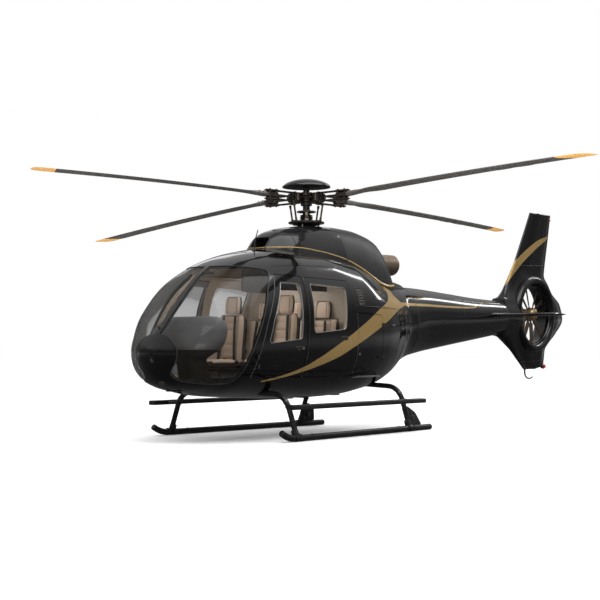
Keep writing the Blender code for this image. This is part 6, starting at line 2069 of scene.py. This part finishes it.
class HELICOPTER_OT_cockpit(bpy.types.Operator):
    """Console with its glareshield, screens and dials, pedals, sticks and cabin linings"""
    bl_idname = "helicopter.cockpit"
    bl_label = "Console and controls"

    def execute(self, context):
        self.console()
        self.stick()
        self.pedals()
        self.linings()
        return {"FINISHED"}

    def console(self):
        """The console with its screens."""
        shape = Shape()
        levels = np.array(((ON_FLOOR, 2.50, 2.15, 0.14), (0.90, 2.51, 2.165, 0.145),
                           (1.03, 2.55, 2.20, 0.155), (1.10, 2.66, 2.19, 0.26), (1.15, 2.74, 2.165, 0.36),
                           (1.22, 2.765, 2.14, 0.42), (1.30, 2.76, 2.115, 0.45), (1.40, 2.71, 2.10, 0.455),
                           (1.48, 2.62, 2.10, 0.43), (1.54, 2.53, 2.12, 0.38), (1.58, 2.44, 2.16, 0.29)))
        table = Table(levels)
        rings = []
        for z in np.linspace(ON_FLOOR, 1.58, 48):
            front, rear, half = (float(v) for v in table(np.array(z)))
            ring = []
            for a in full_turn(48):
                c, s = math.cos(a), math.sin(a)
                power = 0.5 if c > 0 else 0.22
                ring.append(((front + rear) / 2 + (front - rear) / 2 * math.copysign(abs(c) ** power, c),
                             half * math.copysign(abs(s) ** 0.5, s), z))
            rings.append(ring)
        shape.loft(rings[:25], 1)
        shape.loft(rings[24:], 0)
        lip = []
        for a in np.linspace(-1, 1, 41):
            z = 1.565 - 0.09 * abs(a) ** 3
            lip.append((2.11 + 0.06 * abs(a) ** 4, 0.40 * a, z))
        shape.tube(lip, 0.018, 12, 0)
        for y, wide in ((-0.205, 0.17), (0.0, 0.19), (0.205, 0.17)):
            shape.block((2.116, y - wide / 2, 1.185), (2.130, y + wide / 2, 1.355), 0.006, 1)
            shape.block((2.1135, y - wide / 2 + 0.012, 1.205), (2.118, y + wide / 2 - 0.012, 1.343), 0.002, 2)
            for k in range(6):
                shape.block((2.1125, y - wide / 2 + 0.015 + k * (wide - 0.03) / 6, 1.190),
                            (2.118, y - wide / 2 + 0.031 + k * (wide - 0.03) / 6, 1.199), 0.0015, 0)
        for y in (-0.27, 0.27):
            for z in (1.16, 1.13):
                shape.lathe(((0.016, 2.14), (0.016, 2.150), (0.012, 2.151)), (0, y, z), "X", 20, 1)
        for row in range(5):
            z = 1.07 - 0.062 * row
            rear = float(table(np.array(z))[1])
            shape.block((rear - 0.004, -0.115, z - 0.024), (rear + 0.010, 0.115, z + 0.024), 0.003, 1)
            for k in range(5):
                y = -0.088 + 0.044 * k
                shape.lathe(((0.004, rear - 0.020), (0.009, rear - 0.018), (0.010, rear - 0.002)), (0, y, z),
                            "X", 14, 3 if (row + k) % 2 else 0)
        build("console_and_screens", shape, AIRFRAME,
              ("grey_trim", "dark_trim", "screen_glass", "bright_metal_and_seal_highlight"), "instrument_console")

    def stick(self):
        """The control stick."""
        shape = Shape()
        bend = smooth_path([(1.84, 0.722), (1.84, 0.78), (1.885, 0.93), (1.872, 1.04)])
        shape.tube([(x, SEAT_Y, z) for x, z in bend], 0.0125, 14, 0)
        shape.tube([(1.872, SEAT_Y, 1.035), (1.868, SEAT_Y, 1.05), (1.858, SEAT_Y, 1.09),
                    (1.846, SEAT_Y, 1.135), (1.842, SEAT_Y, 1.158), (1.841, SEAT_Y, 1.168)],
                   (0.014, 0.019, 0.017, 0.020, 0.019, 0.010), 16, 1)
        shape.bolt((1.832, SEAT_Y, 1.160), (-0.3, 0, 1), 0.005, 0.004, 2)
        shape.lathe([(0.045 - 0.006 * (k % 2) - 0.004 * k, ON_FLOOR + 0.008 * k) for k in range(8)][::-1],
                    (1.84, SEAT_Y, 0), "Z", 32, 1)
        build("cyclic_stick", shape, AIRFRAME, ("dark_metal", "dark_trim", "bright_metal_and_seal_highlight"),
              "control_stick")

    def pedals(self):
        """The pedals, the levers and the small fittings on floor and roof."""
        shape = Shape()
        for y in (-SEAT_Y, SEAT_Y):
            for way in (-1, 1):
                middle = y + way * 0.085
                shape.tube([(2.40, middle, 0.724), (2.43, middle, 0.80), (2.42, middle, 0.875)], 0.009, 10, 0)
                shape.bar((2.415, middle - 0.045, 0.885), (2.415, middle + 0.045, 0.885), 0.055, 0.012, 0)
                for k in range(4):
                    z = 0.868 + 0.011 * k
                    shape.tube([(2.401, middle - 0.04, z), (2.401, middle + 0.04, z)], 0.002, 6, 1)
            shape.tube([(2.42, y - 0.13, 0.742), (2.42, y + 0.13, 0.742)], 0.012, 12, 0)
        lever = smooth_path([(1.12, 0.745), (1.30, 0.80), (1.52, 0.905), (1.62, 0.955)])
        shape.tube([(x, 0.185, z) for x, z in lever], 0.0115, 12, 0)
        shape.tube([(1.60, 0.185, 0.945), (1.62, 0.185, 0.956), (1.70, 0.185, 0.995), (1.72, 0.185, 1.004)],
                   (0.013, 0.019, 0.019, 0.012), 14, 1)
        shape.tube(smooth_path([(1.25, 0.0, 0.735), (1.30, 0.0, 0.85), (1.36, 0, 0.90)]), 0.010, 10, 0)
        shape.block((1.28, -0.09, ON_FLOOR), (1.92, 0.09, 0.80), 0.012, 1)
        shape.block((2.0, -0.075, 2.13), (2.16, 0.075, 2.165), 0.008, 1)
        for x, y in ((1.02, 0.0), (0.62, 0.45), (0.62, -0.45)):
            z = hull_height(x) - WALL - 0.045 - 0.10 * (y / 0.45) ** 2
            shape.lathe(((0.030, z), (0.034, z + 0.010), (0.034, z + 0.03), (0.02, z + 0.045)), (x, y, 0),
                        "Z", 24, 1)
        build("pedals_and_levers", shape, AIRFRAME, ("dark_metal", "dark_trim"))

    def linings(self):
        """The cabin's linings."""
        shape = Shape()
        for side in (1, -1):
            made = Shape()
            x, rings = DOOR_POST, []
            for z in np.linspace(0.78, 2.16, 24):
                y = float(side_y(x, z)) - WALL - 0.004
                rings.append([(x - 0.045, y, z), (x - 0.040, y - 0.028, z), (x + 0.040, y - 0.028, z),
                              (x + 0.045, y, z)])
            made.loft(rings, 0)
            rail = [(x, float(side_y(x, 2.14)) - WALL - 0.02, 2.14) for x in np.linspace(0.25, 1.50, 20)]
            made.tube(rail, 0.018, 12, 0)
            shape.take(made.on_side(side))
        bulk = np.linspace(0.735, 2.38, 30)
        rings = []
        for x in (0.190, 0.215):
            right = [(x, float(side_y(x, z)) - WALL - 0.012, z) for z in bulk]
            rings.append(right + [(px, -py, pz) for px, py, pz in reversed(right)])
        shape.loft(rings, 0)
        build("cabin_linings", shape, AIRFRAME, ("beige_trim",))


class HELICOPTER_OT_fittings(bpy.types.Operator):
    """Nose lamps, the aerial, belly fittings, and the finishes of the solids kept as they are"""
    bl_idname = "helicopter.fittings"
    bl_label = "Lamps and fittings"

    def execute(self, context):
        self.lamp()
        self.nose()
        self.aerial()
        self.belly()
        self.solids()
        return {"FINISHED"}

    def lamp(self):
        """The nose lamp's glass."""
        shape = Shape()
        shape.lathe(((0.030, 2.99), (0.0465, 3.0), (0.0465, 3.052), (0.044, 3.066), (0.040, 3.071),
                     (0.038, 3.064), (0.02, 3.050)), (0, 0, 1.035), "X", 40, 1)
        shape.lathe(((0.030, 3.045), (0.038, 3.060), (0.036, 3.068), (0.024, 3.0755), (0.006, 3.0785)),
                    (0, 0, 1.035), "X", 40, 0)
        build("nose_lamp_glass", shape, AIRFRAME, ("clear_lens", "dark_metal"), "nose_lamp")

    def nose(self):
        """The small fittings under the nose."""
        shape = Shape()
        radius, front = 0.045, 2.934
        shape.lathe(((radius, front - 0.05), (radius * 1.15, front - 0.01), (radius * 1.1, front + 0.004),
                     (radius * 0.8, front + 0.006)), (0, 0.04, 0.763), "X", 28, 1)
        for y in (-0.09, 0.0, 0.09):
            shape.block((2.62, y - 0.03, 0.634), (2.70, y + 0.03, 0.648), 0.004, 1)
        build("nose_fittings", shape, AIRFRAME, ("clear_lens", "dark_metal"))

    def aerial(self):
        """The whip aerial."""
        shape = Shape()
        foot = hull_height(1.24, 0.13)
        shape.lathe(((0.022, foot - 0.01), (0.022, foot + 0.006), (0.012, foot + 0.018),
                     (0.006, foot + 0.022)),
                    (1.24, 0.10, 0), "Z", 28)
        rod = smooth_path([(1.24, 0.10, foot), (1.24, 0.10, 2.53), (1.215, 0.10, 2.65), (1.17, 0.10, 2.755)])
        shape.tube(rod, np.linspace(0.0085, 0.0065, len(rod)), 10)
        build("whip_aerial_rod", shape, AIRFRAME, ("dark_trim",), "whip_aerial")

    def belly(self):
        """The fittings under the belly, and four bolts on the roof."""
        shape = Shape()
        for x, y in ((1.86, 0.30), (1.86, -0.30), (0.9, 0.2), (-0.2, -0.15)):
            z = hull_height(x, math.pi - 0.35)
            shape.tube([(x, y, z + 0.03), (x, y, z - 0.012), (x - 0.012, y, z - 0.020)], 0.006, 8)
        shape.block((-0.72, -0.05, 0.50), (-0.56, 0.05, 0.56), 0.012)
        for side in (1, -1):
            for x in (1.0, 0.1):
                y, z = side * 0.55, hull_height(x, 0.62)
                shape.bolt((x, y, z - 0.003), (0, y * 0.4, 1), 0.007, 0.002)
        build("belly_fittings", shape, AIRFRAME, ("dark_metal",))

    def solids(self):
        """Finishes for the solids that are kept as they are."""
        for node, finish in (("engine", "cast_metal"), ("main_gearbox", "cast_metal"),
                             ("cabin_floor", "carpet")):
            mesh = frame["nodes"][node].data
            mesh.materials.clear()
            mesh.materials.append(FINISHES[finish])


def put_in_scene(name, data, place=(0, 0, 0)):
    made = bpy.data.objects.new(name, data)
    made.location = place
    bpy.context.scene.collection.objects.link(made)
    return made


def stage_mesh(name, fill, finish):
    """An object round the helicopter, drawn by fill(bm)."""
    bm = bmesh.new()
    fill(bm)
    mesh = bpy.data.meshes.new(name)
    bm.to_mesh(mesh)
    bm.free()
    mesh.materials.append(finish.material)
    return put_in_scene(name, mesh)


def area_lamp(name, place, size, power):
    light = bpy.data.lights.new(name, "AREA")
    light.shape = "RECTANGLE"
    light.size, light.size_y = size
    light.energy = power
    return put_in_scene(name, light, place)


def aimed(way):
    return way.to_track_quat("-Z", "Y").to_euler()


class HELICOPTER_OT_stage(bpy.types.Operator):
    """Pale floor, soft studio lights and the camera at the photograph's angle"""
    bl_idname = "helicopter.stage"
    bl_label = "Stage"

    def execute(self, context):
        settings = context.scene.helicopter
        context.scene.view_settings.view_transform = "Standard"
        f = Finish("pale_floor", Roughness=0.9, Specular_IOR_Level=0.1, Emission_Color=(1, 1, 1, 1),
                   Emission_Strength=0.12)
        *_, spot = f.place()
        f.feed(Base_Color=f.mix(f.noise(spot, 0.4), (0.90, 0.90, 0.90), (0.93, 0.93, 0.93)))
        floor = stage_mesh("floor", self.floor_grid, f)
        floor.location = (0, 0, -0.0005)
        floor.visible_glossy = False

        f = Finish("lit_screen", Base_Color=(0, 0, 0, 1), Roughness=1.0, Specular_IOR_Level=0.0,
                   Emission_Color=(1, 1, 1, 1), Emission_Strength=1.0)
        surround = stage_mesh("white surround", self.surround_ball, f)
        surround.visible_diffuse = surround.visible_glossy = surround.visible_shadow = False
        self.studio(context, settings)
        self.lamps(settings)
        self.camera(context, settings)
        return {"FINISHED"}

    def floor_grid(self, bm):
        bmesh.ops.create_grid(bm, x_segments=24, y_segments=24, size=90)

    def surround_ball(self, bm):
        bmesh.ops.create_uvsphere(bm, u_segments=64, v_segments=32, radius=140)

    def studio(self, context, settings):
        """The surroundings that the paint reflects, by height."""
        world = bpy.data.worlds.new("studio")
        context.scene.world = world
        world.use_nodes = True
        tree = world.node_tree
        sky = tree.nodes["Background"]
        direction = tree.nodes.new("ShaderNodeTexCoord")
        split = tree.nodes.new("ShaderNodeSeparateXYZ")
        height = tree.nodes.new("ShaderNodeMapRange")
        height.inputs["From Min"].default_value, height.inputs["From Max"].default_value = -1.0, 1.0
        band = tree.nodes.new("ShaderNodeValToRGB")
        places = ((0.0, 0.03), (0.44, 0.09), (0.499, 0.30), (0.510, 0.12), (0.60, settings.sky_shade),
                  (0.75, 0.55))
        while len(band.color_ramp.elements) < len(places):
            band.color_ramp.elements.new(0.5)
        for element, (place, shade) in zip(band.color_ramp.elements, places):
            element.position, element.color = place, (shade, shade, shade, 1)
        tree.links.new(direction.outputs["Generated"], split.inputs[0])
        tree.links.new(split.outputs[2], height.inputs["Value"])
        tree.links.new(height.outputs[0], band.inputs[0])
        tree.links.new(band.outputs[0], sky.inputs["Color"])
        sky.inputs["Strength"].default_value = settings.sky_strength

    def lamps(self, settings):
        """Softboxes round the helicopter, lamps under the cabin roof and even light from above."""
        for name, place, size, power in (
                ("overhead softbox", (2.0, 3.5, 10.0), (14.0, 8.0), settings.overhead_power),
                ("nose softbox", (13.0, 7.0, 5.5), (3.5, 2.5), settings.key_power),
                ("tail strip", (-12.5, 1.4, 8.8), (0.9, 7.0), settings.strip_power),
                ("far softbox", (-7.0, -9.0, 7.5), (9.0, 3.0), settings.rim_power)):
            lamp = area_lamp(name, place, size, power)
            lamp.rotation_euler = aimed(raised(1.2) - Vector(place))
        for place in (0.75, 1.75):
            lamp = area_lamp("cabin lamp", (place + MAST_X, 0, 2.16), (0.5, 1.2), settings.cabin_power)
            lamp.visible_glossy = lamp.visible_camera = False
        light = bpy.data.lights.new("ceiling", "SUN")
        light.energy, light.angle = settings.ceiling_power, math.radians(110)
        lamp = put_in_scene("ceiling", light)
        lamp.rotation_euler = (math.radians(8), math.radians(-6), 0)
        lamp.visible_glossy = False

    def camera(self, context, settings):
        lens = bpy.data.cameras.new("photo camera")
        lens.sensor_width, lens.lens = 36.0, settings.lens
        camera = put_in_scene("photo camera", lens, (15.36 + MAST_X, 12.13, 1.21))
        yaw, pitch = math.radians(38.56), math.radians(-1.88)
        camera.rotation_euler = aimed(Vector((-math.cos(yaw) * math.cos(pitch),
                                               -math.sin(yaw) * math.cos(pitch),
                                               -math.sin(pitch))))
        context.scene.camera = camera


class HelicopterSettings(bpy.types.PropertyGroup):
    """The sizes, colours and lights that a user would change"""
    black: bpy.props.FloatVectorProperty(
        name="Body paint", description="Colour of the gloss paint under its clear coat",
                                         default=(0.0014, 0.0014, 0.0016),
        size=3, subtype="COLOR", min=0.0, max=1.0)
    lens: bpy.props.FloatProperty(
        name="Lens", description="Focal length on a 36 mm sensor", default=83.7, min=10.0, unit="CAMERA")
    sky_shade: bpy.props.FloatProperty(
        name="Sky shade", description="Brightness of the studio above the horizon", default=0.12, min=0.0)
    sky_strength: bpy.props.FloatProperty(
        name="Sky strength", description="Strength of the studio's surroundings", default=1.0, min=0.0)
    overhead_power: bpy.props.FloatProperty(
        name="Overhead softbox", description="Power of the light over the rotor", default=820.0, unit="POWER")
    ceiling_power: bpy.props.FloatProperty(
        name="Ceiling", description="Strength of the even light from above", default=2.6, min=0.0)
    cabin_power: bpy.props.FloatProperty(
        name="Cabin lamps", description="Power of each lamp under the cabin roof", default=11.0, unit="POWER")
    strip_power: bpy.props.FloatProperty(
        name="Strip light", description="Power of the strip that draws a streak on the boom", default=150.0,
        unit="POWER")
    key_power: bpy.props.FloatProperty(
        name="Nose softbox", description="Power of the light before the nose", default=70.0, unit="POWER")
    rim_power: bpy.props.FloatProperty(
        name="Far softbox", description="Power of the light behind", default=90.0, unit="POWER")


STEPS = (HELICOPTER_OT_cabin, HELICOPTER_OT_fuselage, HELICOPTER_OT_doors,
         HELICOPTER_OT_windshield, HELICOPTER_OT_cowls, HELICOPTER_OT_tail,
         HELICOPTER_OT_tail_fan, HELICOPTER_OT_rotor, HELICOPTER_OT_hub,
         HELICOPTER_OT_skids, HELICOPTER_OT_seats, HELICOPTER_OT_cockpit,
         HELICOPTER_OT_fittings, HELICOPTER_OT_stage)


class HELICOPTER_PT_looks(bpy.types.Panel):
    """Lists every step of dressing the helicopter"""
    bl_idname = "HELICOPTER_PT_looks"
    bl_label = "Helicopter looks"
    bl_space_type = "VIEW_3D"
    bl_region_type = "UI"
    bl_category = "Helicopter"

    def draw(self, context):
        for name in HelicopterSettings.__annotations__:
            self.layout.prop(context.scene.helicopter, name)
        for step in STEPS:
            self.layout.operator(step.bl_idname)


CLASSES = (HelicopterSettings, *STEPS, HELICOPTER_PT_looks)


def register():
    for made in CLASSES:
        bpy.utils.register_class(made)
    bpy.types.Scene.helicopter = bpy.props.PointerProperty(type=HelicopterSettings)


def unregister():
    del bpy.types.Scene.helicopter
    for made in reversed(CLASSES):
        bpy.utils.unregister_class(made)


def main():
    """Registers the add-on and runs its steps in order."""
    register()
    mix_paints(tuple(bpy.context.scene.helicopter.black))
    for step in STEPS:
        group, name = step.bl_idname.split(".")
        getattr(getattr(bpy.ops, group), name)()


if __name__ == "__main__":
    main()
